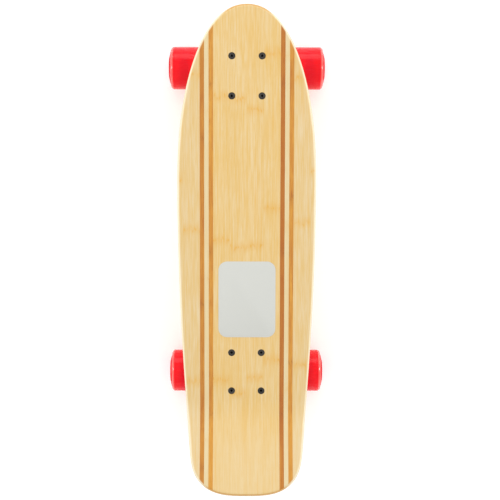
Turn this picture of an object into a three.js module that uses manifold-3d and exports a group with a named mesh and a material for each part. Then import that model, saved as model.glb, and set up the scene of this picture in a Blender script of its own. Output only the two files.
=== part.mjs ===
// A small cruiser skateboard: a bamboo deck with a kicktail, two reverse-kingpin trucks
// and four urethane wheels.
// Millimetres. +Y points to the nose, +X to the rider's right when facing the nose, +Z up.
// The origin is on the ground under the middle of the board.

import * as THREE from 'three';
import { mergeVertices } from 'three/addons/utils/BufferGeometryUtils.js';
import Module from 'manifold-3d';

const wasm = await Module();
wasm.setup();

// ---------------------------------------------------------------- driving dimensions

// Deck
const DECK_LENGTH = 673;
const DECK_WIDTH = 191;
const DECK_THICKNESS = 11;
const DECK_TAIL_WIDTH = 146;
const NOSE_CURVE_LENGTH = 240;
const NOSE_CURVE_POWER = 2.15;
const TAIL_CURVE_LENGTH = 61;
const TAIL_CURVE_POWER = 3;
const NOSE_OVERHANG = 96;
const KICK_ANGLE = THREE.MathUtils.degToRad(18);
const KICK_RADIUS = 110;
const KICK_CLEARANCE = 1;

// Where the trucks are bolted on
const TRUCK_SPACING = 409;
const BOLT_PATTERN_LENGTH = 53.98;
const BOLT_PATTERN_WIDTH = 41.28;
const RISER_THICKNESS = 3;

// Wheels, bearings and axles
const WHEEL_DIAMETER = 60;
const WHEEL_WIDTH = 45;
const WHEEL_LIP_RADIUS = 6;
const WHEEL_HUB_RECESS_FLARE = 2.3;
const WHEEL_HUB_CHAMFER = 1;
const WHEEL_FACE_DISH = 1.4;
const FACE_DISH_AT_HUB = 0.3;
const LIP_CORNER_IN = 0.3;
const LIP_CORNER_DOWN = 0.35;
const TRACK_OVER_WHEELS = 220.6;
const BEARING_DIAMETER = 22;
const BEARING_WIDTH = 7;
const BEARING_SHOULDER_WIDTH = 2.5;
const BEARING_SEAT_EDGE = 0.6;
const SPACER_LENGTH = 10;
const SPACER_DIAMETER = 10.5;
const AXLE_DIAMETER = 8;
const AXLE_TIP_INSET = 1.3;
const SPEED_WASHER_THICKNESS = 1;
const AXLE_NUT_ACROSS_FLATS = 12.7;
const AXLE_NUT_HEIGHT = 6.5;
const AXLE_NUT_COLLAR_STEP = 0.6;
const AXLE_NUT_HEX_SHARE = 0.72;

// Truck geometry. The steering axis leans outwards as it rises, and the kingpin is square to it.
const STEERING_ANGLE = THREE.MathUtils.degToRad(45);
const AXLE_DROP = 64.5;
const AXLE_OFFSET = 13.9;
const AXLE_RAKE = 16;

// Hanger
const HANGER_RADIUS = 9.5;
const HANGER_END_RADIUS = 7.4;
const HANGER_END_LENGTH = 4;
const HANGER_TAPER_START = 30;
const YOKE_THICKNESS = 9;
const YOKE_WALL = 4.2;
const YOKE_RECESS_DEPTH = 1.5;
const YOKE_HOLE_DIAMETER = 14.6;
const GUSSET_HALF_WIDTH_AT_AXLE = 40;
const GUSSET_HALF_WIDTH_AT_YOKE = 15;
const PIVOT_NOSE_DIAMETER = 10;
const PIVOT_NOSE_LENGTH = 10;

// Kingpin and bushings
const KINGPIN_DIAMETER = 9.5;
const KINGPIN_NUT_ACROSS_FLATS = 14.3;
const KINGPIN_NUT_HEIGHT = 8;
const KINGPIN_HEAD_HEIGHT = 6;
const KINGPIN_TIP_LENGTH = 2.6;
const BUSHING_DIAMETER = 24;
const BUSHING_END_DIAMETER = 20.4;
const BUSHING_HEIGHT = 13;
const CUP_WASHER_THICKNESS = 1.5;
const CUP_WASHER_RIM = 1.2;

// Baseplate and pivot cup
const BASEPLATE_LENGTH = 76;
const BASEPLATE_WIDTH = 57;
const BASEPLATE_CORNER_RADIUS = 8;
const BASEPLATE_THICKNESS = 6;
const BASEPLATE_BODY_WIDTH = 28;
const BASEPLATE_WALL = 4;
const PIVOT_TOWER_WALL = 3;
const BASEPLATE_POCKET_DEPTH = 3.6;
const BASEPLATE_POCKET_RIM = 5.5;
const KINGPIN_SEAT_WALL = 11;
const KINGPIN_SEAT_HALF_LENGTH = 14;
const PIVOT_CUP_WALL = 2.2;
const PIVOT_CUP_FLOOR = 2.4;

// Mounting bolts and lock nuts
const BOLT_DIAMETER = 4.8;
const BOLT_HEAD_DIAMETER = 9.4;
const BOLT_LENGTH = 30;
const BOLT_HEAD_RIM = 0.5;
const BOLT_SOCKET_ACROSS_FLATS = 3.2;
const BOLT_SOCKET_DEPTH = 2.4;
const LOCK_NUT_ACROSS_FLATS = 9.5;
const LOCK_NUT_HEX_HEIGHT = 4;
const LOCK_NUT_COLLAR_DIAMETER = 8.6;
const LOCK_NUT_COLLAR_HEIGHT = 2;

// Clearances
const REST_GAP = 0.3;
const SHAFT_CLEARANCE = 0.2;
const RUNNING_CLEARANCE = 1.5;
const BOLT_HOLE_CLEARANCE = 0.3;
const HEAD_CLEARANCE = 0.15;
const WASHER_CLEARANCE = 0.5;
const NOSE_CLEARANCE = 0.4;
const SOCKET_ROOM = 1.7;

// Number of flats on round pieces
const WHEEL_SEGMENTS = 32;
const AXLE_SEGMENTS = 24;
const ROUND_SEGMENTS = 16;
const BOLT_SEGMENTS = 12;
const CORNER_SEGMENTS = 4;

// Overshoot of a cutting tool past the face that it cuts
const CUT_MARGIN = 1;

// ---------------------------------------------------------------- sizes worked out from them

const wheelRadius = WHEEL_DIAMETER / 2;
const axleToKingpin = HANGER_RADIUS + BUSHING_DIAMETER / 2 + WASHER_CLEARANCE;
const axleRadius = AXLE_DIAMETER / 2;
const baseplateFaceZ = wheelRadius + AXLE_DROP;
const deckUndersideZ = baseplateFaceZ + RISER_THICKNESS;
const deckTopZ = deckUndersideZ + DECK_THICKNESS;
const frontTruckY = DECK_LENGTH / 2 - NOSE_OVERHANG;
const rearTruckY = frontTruckY - TRUCK_SPACING;

// Along the axle, measured from the middle of the board
const wheelOuterX = TRACK_OVER_WHEELS / 2;
const wheelMiddleX = wheelOuterX - WHEEL_WIDTH / 2;
const bearingInset = SPACER_LENGTH / 2 + BEARING_WIDTH / 2;
const hangerEndX = wheelMiddleX - SPACER_LENGTH / 2 - BEARING_WIDTH - SPEED_WASHER_THICKNESS;
const axleNutX = wheelMiddleX + SPACER_LENGTH / 2 + BEARING_WIDTH + SPEED_WASHER_THICKNESS;
const axleTipX = wheelOuterX - AXLE_TIP_INSET;

// Along the kingpin, measured from the middle of the yoke
const yokeFloor = YOKE_THICKNESS / 2 - YOKE_RECESS_DEPTH;
const bushingStart = yokeFloor + REST_GAP;
const bushingEnd = bushingStart + BUSHING_HEIGHT;
const cupWasherStart = bushingEnd + REST_GAP;
const cupWasherEnd = cupWasherStart + CUP_WASHER_THICKNESS;
const kingpinSeat = cupWasherEnd + REST_GAP;
const kingpinHeadSeat = kingpinSeat + KINGPIN_SEAT_WALL;
const kingpinHeadStart = kingpinHeadSeat + REST_GAP;
const kingpinHeadEnd = kingpinHeadStart + KINGPIN_HEAD_HEIGHT;
const kingpinTip = kingpinSeat + KINGPIN_NUT_HEIGHT + KINGPIN_TIP_LENGTH;
const kingpinRadius = KINGPIN_DIAMETER / 2;
const kingpinHoleRadius = kingpinRadius + SHAFT_CLEARANCE;

// Along the steering axis, measured from the kingpin towards the pivot
const hangerBack = axleToKingpin + HANGER_RADIUS;
const pivotFace = hangerBack + RUNNING_CLEARANCE;
const pivotNoseTip = hangerBack + PIVOT_NOSE_LENGTH;
const pivotCupFloor = pivotNoseTip + NOSE_CLEARANCE;
const pivotCupEnd = pivotCupFloor + PIVOT_CUP_FLOOR;
const pivotBoreEnd = pivotCupEnd + REST_GAP;
const pivotTowerEnd = pivotBoreEnd + BASEPLATE_WALL;
const pivotCupBoreRadius = PIVOT_NOSE_DIAMETER / 2 + REST_GAP;
const pivotCupRadius = pivotCupBoreRadius + PIVOT_CUP_WALL;
const pivotBoreRadius = pivotCupRadius + SHAFT_CLEARANCE;
const pivotTowerRadius = pivotBoreRadius + PIVOT_TOWER_WALL;
const yokeRecessRadius = BUSHING_DIAMETER / 2 + REST_GAP * 2;
const yokeRadius = yokeRecessRadius + YOKE_WALL;

// The steering frame: origin where the kingpin meets the steering axis, +Y along the axis
// (outwards and up), +Z along the kingpin (to the board). It is given in the truck's own frame.
const steeringFrame = new THREE.Matrix4().makeRotationX(STEERING_ANGLE);
const axleInTruck = new THREE.Vector3(0, AXLE_OFFSET, -AXLE_DROP);
const axleInSteeringFrame = new THREE.Vector3(0, -axleToKingpin, -AXLE_RAKE);
const kingpinCentre = axleInTruck.clone().sub(axleInSteeringFrame.clone().applyMatrix4(steeringFrame));
steeringFrame.setPosition(kingpinCentre);

// ---------------------------------------------------------------- materials

const material = (name, color, roughness, metalness) =>
  new THREE.MeshStandardMaterial({ name, color, roughness, metalness });

const bamboo = () => material('bamboo', 0xe6c88c, 0.45, 0);
const blackSteel = () => material('black_steel', 0x17181a, 0.4, 0.9);
const zincSteel = () => material('zinc_steel', 0xb9bdc2, 0.35, 1);
const castAluminium = () => material('cast_aluminium', 0xa4a7ab, 0.5, 1);
const rubber = () => material('rubber', 0x1b1b1c, 0.8, 0);
const redUrethane = () => material('red_urethane', 0xc01418, 0.3, 0);
const bushingUrethane = () => material('bushing_urethane', 0xa01214, 0.4, 0);

// ---------------------------------------------------------------- solids and booleans

// One closed body from a geometry, with its shared vertices merged and collapsed triangles dropped.
function toSolid(geometry) {
  const bare = geometry.clone();
  bare.deleteAttribute('normal');
  bare.deleteAttribute('uv');
  const merged = mergeVertices(bare, 1e-4);
  const index = merged.index.array;
  const triangles = [];
  for (let i = 0; i < index.length; i += 3) {
    const [a, b, c] = [index[i], index[i + 1], index[i + 2]];
    if (a !== b && b !== c && c !== a) {
      triangles.push(a, b, c);
    }
  }
  const vertProperties = new Float32Array(merged.attributes.position.array);
  const triVerts = new Uint32Array(triangles);
  return new wasm.Manifold(new wasm.Mesh({ numProp: 3, vertProperties, triVerts }));
}

function toGeometry(solid) {
  const mesh = solid.getMesh();
  const geometry = new THREE.BufferGeometry();
  geometry.setAttribute('position', new THREE.BufferAttribute(new Float32Array(mesh.vertProperties), 3));
  geometry.setIndex(new THREE.BufferAttribute(new Uint32Array(mesh.triVerts), 1));
  const flat = geometry.toNonIndexed();
  flat.computeVertexNormals();
  return flat;
}

const joined = (first, ...rest) => rest.reduce((sum, piece) => sum.add(toSolid(piece)), toSolid(first));
const cutBy = (solid, tools) => tools.reduce((left, tool) => left.subtract(toSolid(tool)), solid);

// A round body about Z. The profile lists [radius, height] from the bottom up, on the axis at both ends.
function turned(profile, segments = ROUND_SEGMENTS) {
  const points = profile.map(([radius, height]) => new THREE.Vector2(radius, height));
  return new THREE.LatheGeometry(points, segments).rotateX(Math.PI / 2);
}

// A ring about Z. The profile runs up the outside and down the inside, and closes on itself.
const turnedRing = (profile, segments) => turned([...profile, profile[0]], segments);

const rod = (radius, bottom, top, segments) =>
  turned([[0, bottom], [radius, bottom], [radius, top], [0, top]], segments);

const tube = (outer, inner, bottom, top, segments) =>
  turnedRing([[outer, bottom], [outer, top], [inner, top], [inner, bottom]], segments);

// A hexagonal rod about Z, with two of its flats square to X
function hexRod(acrossFlats, bottom, top) {
  const cornerRadius = acrossFlats / 2 / Math.cos(Math.PI / 6);
  return rod(cornerRadius, bottom, top, 6);
}

// An outline in X and Y, given as points or as a shape, raised from bottom to top
function raised(outline, bottom, top) {
  const shape = outline instanceof THREE.Shape ? outline : new THREE.Shape(outline);
  return new THREE.ExtrudeGeometry(shape, {
    depth: top - bottom,
    bevelEnabled: false,
    curveSegments: CORNER_SEGMENTS,
  }).translate(0, 0, bottom);
}

// A side outline in Y and Z carried across X by half a width each way
function carriedAcross(outline, halfWidth) {
  const turn = new THREE.Matrix4().makeBasis(
    new THREE.Vector3(0, 1, 0),
    new THREE.Vector3(0, 0, 1),
    new THREE.Vector3(1, 0, 0),
  );
  return raised(outline, -halfWidth, halfWidth).applyMatrix4(turn);
}

// Turns a body about Z into one about X
const alongX = (geometry) => geometry.rotateY(Math.PI / 2);

function roundedRectangle(width, length, radius) {
  const [w, l] = [width / 2, length / 2];
  const shape = new THREE.Shape();
  shape.moveTo(-w + radius, -l);
  shape.lineTo(w - radius, -l);
  shape.absarc(w - radius, -l + radius, radius, -Math.PI / 2, 0);
  shape.lineTo(w, l - radius);
  shape.absarc(w - radius, l - radius, radius, 0, Math.PI / 2);
  shape.lineTo(-w + radius, l);
  shape.absarc(-w + radius, l - radius, radius, Math.PI / 2, Math.PI);
  shape.lineTo(-w, -l + radius);
  shape.absarc(-w + radius, -l + radius, radius, Math.PI, Math.PI * 1.5);
  return shape;
}

// The four places of a bolt pattern around a truck's centre
function boltPlaces() {
  const places = [];
  for (const alongSign of [1, -1]) {
    for (const acrossSign of [-1, 1]) {
      places.push([acrossSign * BOLT_PATTERN_WIDTH / 2, alongSign * BOLT_PATTERN_LENGTH / 2]);
    }
  }
  return places;
}

// ---------------------------------------------------------------- deck

// Half the outline, from the nose tip down the right side to the tail
function deckEdge() {
  const halfWidth = DECK_WIDTH / 2;
  const noseY = DECK_LENGTH / 2;
  const widestY = noseY - NOSE_CURVE_LENGTH;
  const tailY = -DECK_LENGTH / 2;
  const tailCurveY = tailY + TAIL_CURVE_LENGTH;
  const taperPerSquare = (halfWidth - DECK_TAIL_WIDTH / 2) / (widestY - tailY) ** 2;
  const taperedHalfWidth = (y) => halfWidth - taperPerSquare * (widestY - y) ** 2;
  const noseSteps = 18;
  const sideSteps = 10;
  const tailSteps = 12;
  const edge = [];
  for (let i = 0; i <= noseSteps; i += 1) {
    const turn = (i / noseSteps) * (Math.PI / 2);
    const x = halfWidth * Math.sin(turn) ** (2 / NOSE_CURVE_POWER);
    const y = widestY + NOSE_CURVE_LENGTH * Math.cos(turn) ** (2 / NOSE_CURVE_POWER);
    edge.push(new THREE.Vector2(x, y));
  }
  for (let i = 1; i <= sideSteps; i += 1) {
    const y = THREE.MathUtils.lerp(widestY, tailCurveY, i / sideSteps);
    edge.push(new THREE.Vector2(taperedHalfWidth(y), y));
  }
  for (let i = 1; i <= tailSteps; i += 1) {
    const turn = (i / tailSteps) * (Math.PI / 2);
    const y = tailCurveY - TAIL_CURVE_LENGTH * Math.sin(turn) ** (2 / TAIL_CURVE_POWER);
    const x = taperedHalfWidth(y) * Math.max(0, Math.cos(turn)) ** (2 / TAIL_CURVE_POWER);
    edge.push(new THREE.Vector2(x, y));
  }
  return edge;
}

function deckOutline() {
  const right = deckEdge();
  const left = right.slice(1, -1).reverse().map((point) => new THREE.Vector2(-point.x, point.y));
  right[0].x = 0;
  right[right.length - 1].x = 0;
  return [...right, ...left];
}

// The deck from the side: flat, then an arc and a straight rise to the tail
function deckSide() {
  const kickStartY = rearTruckY - BASEPLATE_LENGTH / 2 - KICK_CLEARANCE;
  const pastTail = -DECK_LENGTH / 2 - DECK_THICKNESS;
  const pastNose = DECK_LENGTH / 2 + DECK_THICKNESS;
  const arcCentreZ = deckTopZ + KICK_RADIUS;
  const arcSteps = 8;
  const line = (radius, offset) => {
    const points = [new THREE.Vector2(pastNose, deckTopZ - offset)];
    for (let i = 0; i <= arcSteps; i += 1) {
      const turn = (i / arcSteps) * KICK_ANGLE;
      const y = kickStartY - radius * Math.sin(turn);
      points.push(new THREE.Vector2(y, arcCentreZ - radius * Math.cos(turn)));
    }
    const last = points[points.length - 1];
    points.push(new THREE.Vector2(pastTail, last.y + (last.x - pastTail) * Math.tan(KICK_ANGLE)));
    return points;
  };
  const top = line(KICK_RADIUS, 0);
  const underside = line(KICK_RADIUS + DECK_THICKNESS, DECK_THICKNESS);
  return [...top, ...underside.reverse()];
}

// A countersunk hole to fit a mounting bolt, from the deck top down
function deckHole(x, y) {
  const holeRadius = BOLT_DIAMETER / 2 + BOLT_HOLE_CLEARANCE;
  const headRadius = BOLT_HEAD_DIAMETER / 2 + HEAD_CLEARANCE;
  const rimZ = deckTopZ - BOLT_HEAD_RIM - HEAD_CLEARANCE * 2;
  return turned([
    [0, deckUndersideZ - CUT_MARGIN],
    [holeRadius, deckUndersideZ - CUT_MARGIN],
    [holeRadius, rimZ - (headRadius - holeRadius)],
    [headRadius, rimZ],
    [headRadius, deckTopZ + CUT_MARGIN],
    [0, deckTopZ + CUT_MARGIN],
  ], BOLT_SEGMENTS).translate(x, y, 0);
}

function deckGeometry() {
  const slab = toSolid(carriedAcross(deckSide(), DECK_WIDTH));
  const outline = toSolid(raised(deckOutline(), 0, deckTopZ + DECK_LENGTH));
  const holes = [];
  for (const truckY of [frontTruckY, rearTruckY]) {
    for (const [x, y] of boltPlaces()) {
      holes.push(deckHole(x, truckY + y));
    }
  }
  return toGeometry(cutBy(slab.intersect(outline), holes));
}

// ---------------------------------------------------------------- mounting hardware

const boltHoleTool = (x, y, bottom, top) =>
  rod(BOLT_DIAMETER / 2 + BOLT_HOLE_CLEARANCE, bottom, top, BOLT_SEGMENTS).translate(x, y, 0);

// A flat-head bolt with a hexagon socket. Its head's top face is at height 0.
function boltGeometry() {
  const shankRadius = BOLT_DIAMETER / 2;
  const headRadius = BOLT_HEAD_DIAMETER / 2;
  const coneBottom = -BOLT_HEAD_RIM - (headRadius - shankRadius);
  const body = toSolid(turned([
    [0, -BOLT_LENGTH],
    [shankRadius - 0.6, -BOLT_LENGTH],
    [shankRadius, -BOLT_LENGTH + 0.6],
    [shankRadius, coneBottom],
    [headRadius, -BOLT_HEAD_RIM],
    [headRadius, 0],
    [0, 0],
  ], BOLT_SEGMENTS));
  return toGeometry(cutBy(body, [hexRod(BOLT_SOCKET_ACROSS_FLATS, -BOLT_SOCKET_DEPTH, CUT_MARGIN)]));
}

// A lock nut whose flat face is at height 0, with its collar below
function lockNutGeometry() {
  const collarBottom = -LOCK_NUT_HEX_HEIGHT - LOCK_NUT_COLLAR_HEIGHT;
  const collarRadius = LOCK_NUT_COLLAR_DIAMETER / 2;
  const collar = rod(collarRadius, collarBottom, -LOCK_NUT_HEX_HEIGHT / 2, BOLT_SEGMENTS);
  const body = joined(hexRod(LOCK_NUT_ACROSS_FLATS, -LOCK_NUT_HEX_HEIGHT, 0), collar);
  const boreRadius = BOLT_DIAMETER / 2 + SHAFT_CLEARANCE;
  const bore = rod(boreRadius, collarBottom - CUT_MARGIN, CUT_MARGIN, BOLT_SEGMENTS);
  return toGeometry(cutBy(body, [bore]));
}

// A rubber pad between the deck and the baseplate, resting on height 0
function riserGeometry() {
  const pad = toSolid(raised(
    roundedRectangle(BASEPLATE_WIDTH, BASEPLATE_LENGTH, BASEPLATE_CORNER_RADIUS),
    0,
    RISER_THICKNESS,
  ));
  const holes = boltPlaces().map(([x, y]) => boltHoleTool(x, y, -CUT_MARGIN, RISER_THICKNESS + CUT_MARGIN));
  return toGeometry(cutBy(pad, holes));
}

// ---------------------------------------------------------------- baseplate

// A point of the truck's side view, given along the steering axis and along the kingpin
function sidePoint(alongAxis, alongKingpin) {
  const point = new THREE.Vector3(0, alongAxis, alongKingpin).applyMatrix4(steeringFrame);
  return new THREE.Vector2(point.y, point.z);
}

// The baseplate has its deck face at height 0. Its body carries the kingpin's seat and the pivot tower.
function baseplateGeometry() {
  const seatEnd = KINGPIN_SEAT_HALF_LENGTH;
  const halfBody = BASEPLATE_BODY_WIDTH / 2;
  const insidePlate = -BASEPLATE_THICKNESS / 2;
  const body = carriedAcross([
    new THREE.Vector2(BASEPLATE_LENGTH / 2 - BASEPLATE_CORNER_RADIUS * 2, insidePlate),
    sidePoint(seatEnd, kingpinSeat),
    sidePoint(-seatEnd, kingpinSeat),
    sidePoint(-seatEnd - BASEPLATE_WALL / 2, kingpinSeat - BASEPLATE_WALL),
    sidePoint(-pivotFace, pivotTowerRadius + RUNNING_CLEARANCE),
    sidePoint(-pivotFace, -pivotTowerRadius),
    sidePoint(-pivotTowerEnd + BASEPLATE_WALL, -pivotTowerRadius),
    sidePoint(-pivotTowerEnd, -pivotTowerRadius + BASEPLATE_WALL),
    sidePoint(-pivotTowerEnd, pivotTowerRadius / 2),
    new THREE.Vector2(-BASEPLATE_LENGTH / 2 + BASEPLATE_WALL, insidePlate),
  ], halfBody);
  const plate = raised(
    roundedRectangle(BASEPLATE_WIDTH, BASEPLATE_LENGTH, BASEPLATE_CORNER_RADIUS),
    -BASEPLATE_THICKNESS,
    0,
  );
  const pastTop = kingpinHeadEnd + BASEPLATE_LENGTH;
  const kingpinHole = rod(kingpinHoleRadius, 0, pastTop).applyMatrix4(steeringFrame);
  const headPocketRadius = KINGPIN_NUT_ACROSS_FLATS / 2 + SOCKET_ROOM;
  const headPocket = rod(headPocketRadius, kingpinHeadSeat, pastTop).applyMatrix4(steeringFrame);
  const pivotBore = rod(pivotBoreRadius, 0, pivotBoreEnd).rotateX(Math.PI / 2).applyMatrix4(steeringFrame);
  const boltHoles = boltPlaces().map(([x, y]) => boltHoleTool(x, y, -AXLE_DROP, CUT_MARGIN));
  const solid = joined(plate, body);
  return toGeometry(cutBy(solid, [kingpinHole, headPocket, pivotBore, ...sidePockets(), ...boltHoles]));
}

// Shallow recesses that lighten both sides of the baseplate's leg
function sidePockets() {
  const rim = BASEPLATE_POCKET_RIM;
  const seatEnd = KINGPIN_SEAT_HALF_LENGTH;
  const outline = [
    sidePoint(-pivotTowerEnd + rim, pivotTowerRadius + rim),
    sidePoint(-pivotFace + rim, pivotTowerRadius + rim),
    sidePoint(-seatEnd, kingpinSeat + rim),
    sidePoint(-seatEnd, kingpinHeadSeat + rim),
    new THREE.Vector2(-BASEPLATE_LENGTH / 2 + BASEPLATE_WALL + rim, -BASEPLATE_THICKNESS - rim),
  ];
  const inner = BASEPLATE_BODY_WIDTH / 2 - BASEPLATE_POCKET_DEPTH;
  const depth = BASEPLATE_POCKET_DEPTH + CUT_MARGIN;
  return [1, -1].map((side) =>
    carriedAcross(outline, depth / 2).translate(side * (inner + depth / 2), 0, 0));
}

// ---------------------------------------------------------------- hanger and pivot

function hangerGeometry() {
  const endStart = hangerEndX - HANGER_END_LENGTH;
  const bar = alongX(turned([
    [0, -hangerEndX],
    [HANGER_END_RADIUS, -hangerEndX],
    [HANGER_END_RADIUS, -endStart],
    [HANGER_RADIUS, -HANGER_TAPER_START],
    [HANGER_RADIUS, HANGER_TAPER_START],
    [HANGER_END_RADIUS, endStart],
    [HANGER_END_RADIUS, hangerEndX],
    [0, hangerEndX],
  ], AXLE_SEGMENTS)).translate(0, -axleToKingpin, -AXLE_RAKE);

  const yokeTop = YOKE_THICKNESS / 2;
  const yokeOutline = new THREE.Shape();
  yokeOutline.absarc(0, 0, yokeRadius, 0, Math.PI);
  yokeOutline.lineTo(-GUSSET_HALF_WIDTH_AT_YOKE - YOKE_WALL, -hangerBack);
  yokeOutline.lineTo(GUSSET_HALF_WIDTH_AT_YOKE + YOKE_WALL, -hangerBack);
  const yoke = raised(yokeOutline, -yokeTop, yokeTop);

  // A web seen from the front, wide at the axle and narrow at the yoke
  const gussetOutline = [
    new THREE.Vector2(-GUSSET_HALF_WIDTH_AT_AXLE, -AXLE_RAKE),
    new THREE.Vector2(GUSSET_HALF_WIDTH_AT_AXLE, -AXLE_RAKE),
    new THREE.Vector2(GUSSET_HALF_WIDTH_AT_YOKE, yokeTop),
    new THREE.Vector2(-GUSSET_HALF_WIDTH_AT_YOKE, yokeTop),
  ];
  const gussetFront = axleToKingpin - HANGER_RADIUS + WASHER_CLEARANCE;
  const gussetBack = hangerBack - WASHER_CLEARANCE;
  const gusset = raised(gussetOutline, gussetFront, gussetBack).rotateX(Math.PI / 2);

  const noseRadius = PIVOT_NOSE_DIAMETER / 2;
  const nose = turned([
    [0, axleToKingpin],
    [noseRadius, axleToKingpin],
    [noseRadius, pivotNoseTip - noseRadius * 0.6],
    [noseRadius * 0.85, pivotNoseTip - noseRadius * 0.25],
    [noseRadius * 0.5, pivotNoseTip],
    [0, pivotNoseTip],
  ]).rotateX(Math.PI / 2);

  const axleBore = alongX(rod(axleRadius + SHAFT_CLEARANCE, -axleTipX, axleTipX, AXLE_SEGMENTS))
    .translate(0, -axleToKingpin, -AXLE_RAKE);
  const kingpinHole = rod(YOKE_HOLE_DIAMETER / 2, -pivotTowerEnd, pivotTowerEnd);
  const boardRecess = rod(yokeRecessRadius, yokeFloor, pivotTowerEnd);
  const roadRecess = rod(yokeRecessRadius, -pivotTowerEnd, -yokeFloor);
  const solid = joined(bar, yoke, gusset, nose);
  return toGeometry(cutBy(solid, [axleBore, kingpinHole, boardRecess, roadRecess]));
}

// A urethane cup in the pivot tower, open towards the hanger
function pivotCupGeometry() {
  return turned([
    [0, pivotCupFloor],
    [pivotCupBoreRadius, pivotCupFloor],
    [pivotCupBoreRadius, pivotFace],
    [pivotCupRadius, pivotFace],
    [pivotCupRadius, pivotCupEnd],
    [0, pivotCupEnd],
  ]).rotateX(Math.PI / 2);
}

// ---------------------------------------------------------------- kingpin, bushings and washers

function kingpinGeometry() {
  const chamfer = KINGPIN_TIP_LENGTH / 2;
  const shaft = turned([
    [0, -kingpinTip],
    [kingpinRadius - chamfer, -kingpinTip],
    [kingpinRadius, -kingpinTip + chamfer],
    [kingpinRadius, kingpinHeadEnd],
    [0, kingpinHeadEnd],
  ]);
  return toGeometry(joined(shaft, hexRod(KINGPIN_NUT_ACROSS_FLATS, kingpinHeadStart, kingpinHeadEnd)));
}

// A hexagonal nut on the road side of the kingpin
function kingpinNutGeometry() {
  const top = -kingpinSeat;
  const bottom = top - KINGPIN_NUT_HEIGHT;
  const collarRadius = KINGPIN_NUT_ACROSS_FLATS / 2 - 0.4;
  const hex = hexRod(KINGPIN_NUT_ACROSS_FLATS, bottom + KINGPIN_NUT_HEIGHT / 4, top);
  const body = joined(hex, rod(collarRadius, bottom, top));
  const bore = rod(kingpinRadius + SHAFT_CLEARANCE, bottom - CUT_MARGIN, top + CUT_MARGIN);
  return toGeometry(cutBy(body, [bore]));
}

// A bushing above (side 1) or below (side -1) the yoke, widest at the yoke
function bushingGeometry(side) {
  const profile = [
    [BUSHING_DIAMETER / 2, bushingStart],
    [BUSHING_DIAMETER / 2, bushingStart + BUSHING_HEIGHT * 0.35],
    [BUSHING_END_DIAMETER / 2, bushingEnd],
    [kingpinHoleRadius, bushingEnd],
    [kingpinHoleRadius, bushingStart],
  ];
  return mirroredRing(profile, side);
}

// A dished washer whose rim holds the bushing's end
function cupWasherGeometry(side) {
  const rimInner = BUSHING_END_DIAMETER / 2 + REST_GAP * 2;
  const rimOuter = BUSHING_DIAMETER / 2 - SHAFT_CLEARANCE;
  const profile = [
    [rimOuter, cupWasherStart - CUP_WASHER_RIM],
    [rimOuter, cupWasherEnd],
    [kingpinHoleRadius, cupWasherEnd],
    [kingpinHoleRadius, cupWasherStart],
    [rimInner, cupWasherStart],
    [rimInner + REST_GAP, cupWasherStart - CUP_WASHER_RIM],
  ];
  return mirroredRing(profile, side);
}

// A ring above the yoke, or its mirror image below, with its faces still pointing out
function mirroredRing(profile, side) {
  const points = profile.map(([radius, height]) => [radius, height * side]);
  return turnedRing(side > 0 ? points : points.reverse());
}

// ---------------------------------------------------------------- axle, nuts, bearings and wheels, about X

const axleGeometry = () => alongX(rod(axleRadius, -axleTipX, axleTipX, AXLE_SEGMENTS));

// An axle nut with its flat face at 0 and its rounded collar outwards
function axleNutGeometry() {
  const collarRadius = AXLE_NUT_ACROSS_FLATS / 2 - AXLE_NUT_COLLAR_STEP;
  const hex = hexRod(AXLE_NUT_ACROSS_FLATS, 0, AXLE_NUT_HEIGHT * AXLE_NUT_HEX_SHARE);
  const body = joined(hex, rod(collarRadius, 0, AXLE_NUT_HEIGHT));
  const bore = rod(axleRadius + SHAFT_CLEARANCE, -CUT_MARGIN, AXLE_NUT_HEIGHT + CUT_MARGIN);
  return alongX(toGeometry(cutBy(body, [bore])));
}

function spacerGeometry() {
  const half = SPACER_LENGTH / 2;
  return alongX(tube(SPACER_DIAMETER / 2, axleRadius + SHAFT_CLEARANCE, -half, half, ROUND_SEGMENTS));
}

// A shielded ball bearing, as the ring that its races and shields make together
function bearingGeometry() {
  const half = BEARING_WIDTH / 2;
  return alongX(tube(BEARING_DIAMETER / 2, axleRadius + SHAFT_CLEARANCE, -half, half, AXLE_SEGMENTS));
}

// Half of the wheel's profile, from the tread out to the face and in to the bearing shoulder
function wheelHalfProfile() {
  const half = WHEEL_WIDTH / 2;
  const tread = wheelRadius / Math.cos(Math.PI / WHEEL_SEGMENTS);
  const seatRadius = BEARING_DIAMETER / 2 + SHAFT_CLEARANCE;
  const seatDepth = SPACER_LENGTH / 2;
  const bearingFace = seatDepth + BEARING_WIDTH;
  const recessRadius = seatRadius + WHEEL_HUB_RECESS_FLARE;
  const lip = WHEEL_LIP_RADIUS;
  const face = half - WHEEL_FACE_DISH;
  return [
    [tread, face - lip],
    [tread - lip * LIP_CORNER_IN, face - lip * LIP_CORNER_DOWN],
    [tread - lip, face],
    [recessRadius + lip, half - WHEEL_FACE_DISH * FACE_DISH_AT_HUB],
    [recessRadius + WHEEL_HUB_CHAMFER, half],
    [recessRadius, half - WHEEL_HUB_CHAMFER],
    [seatRadius + BEARING_SEAT_EDGE, bearingFace],
    [seatRadius, bearingFace],
    [seatRadius, seatDepth],
    [BEARING_DIAMETER / 2 - BEARING_SHOULDER_WIDTH, seatDepth],
  ];
}

function wheelGeometry() {
  const half = wheelHalfProfile();
  const mirrored = half.map(([radius, height]) => [radius, -height]).reverse();
  const flatsDown = Math.PI / WHEEL_SEGMENTS;
  return alongX(turnedRing([...half, ...mirrored], WHEEL_SEGMENTS).rotateZ(flatsDown));
}

// ---------------------------------------------------------------- assembly

const board = new THREE.Group();

function add(parent, name, geometry, look, x = 0, y = 0, z = 0) {
  const mesh = new THREE.Mesh(geometry, look);
  mesh.name = name;
  mesh.position.set(x, y, z);
  parent.add(mesh);
  return mesh;
}

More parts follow.
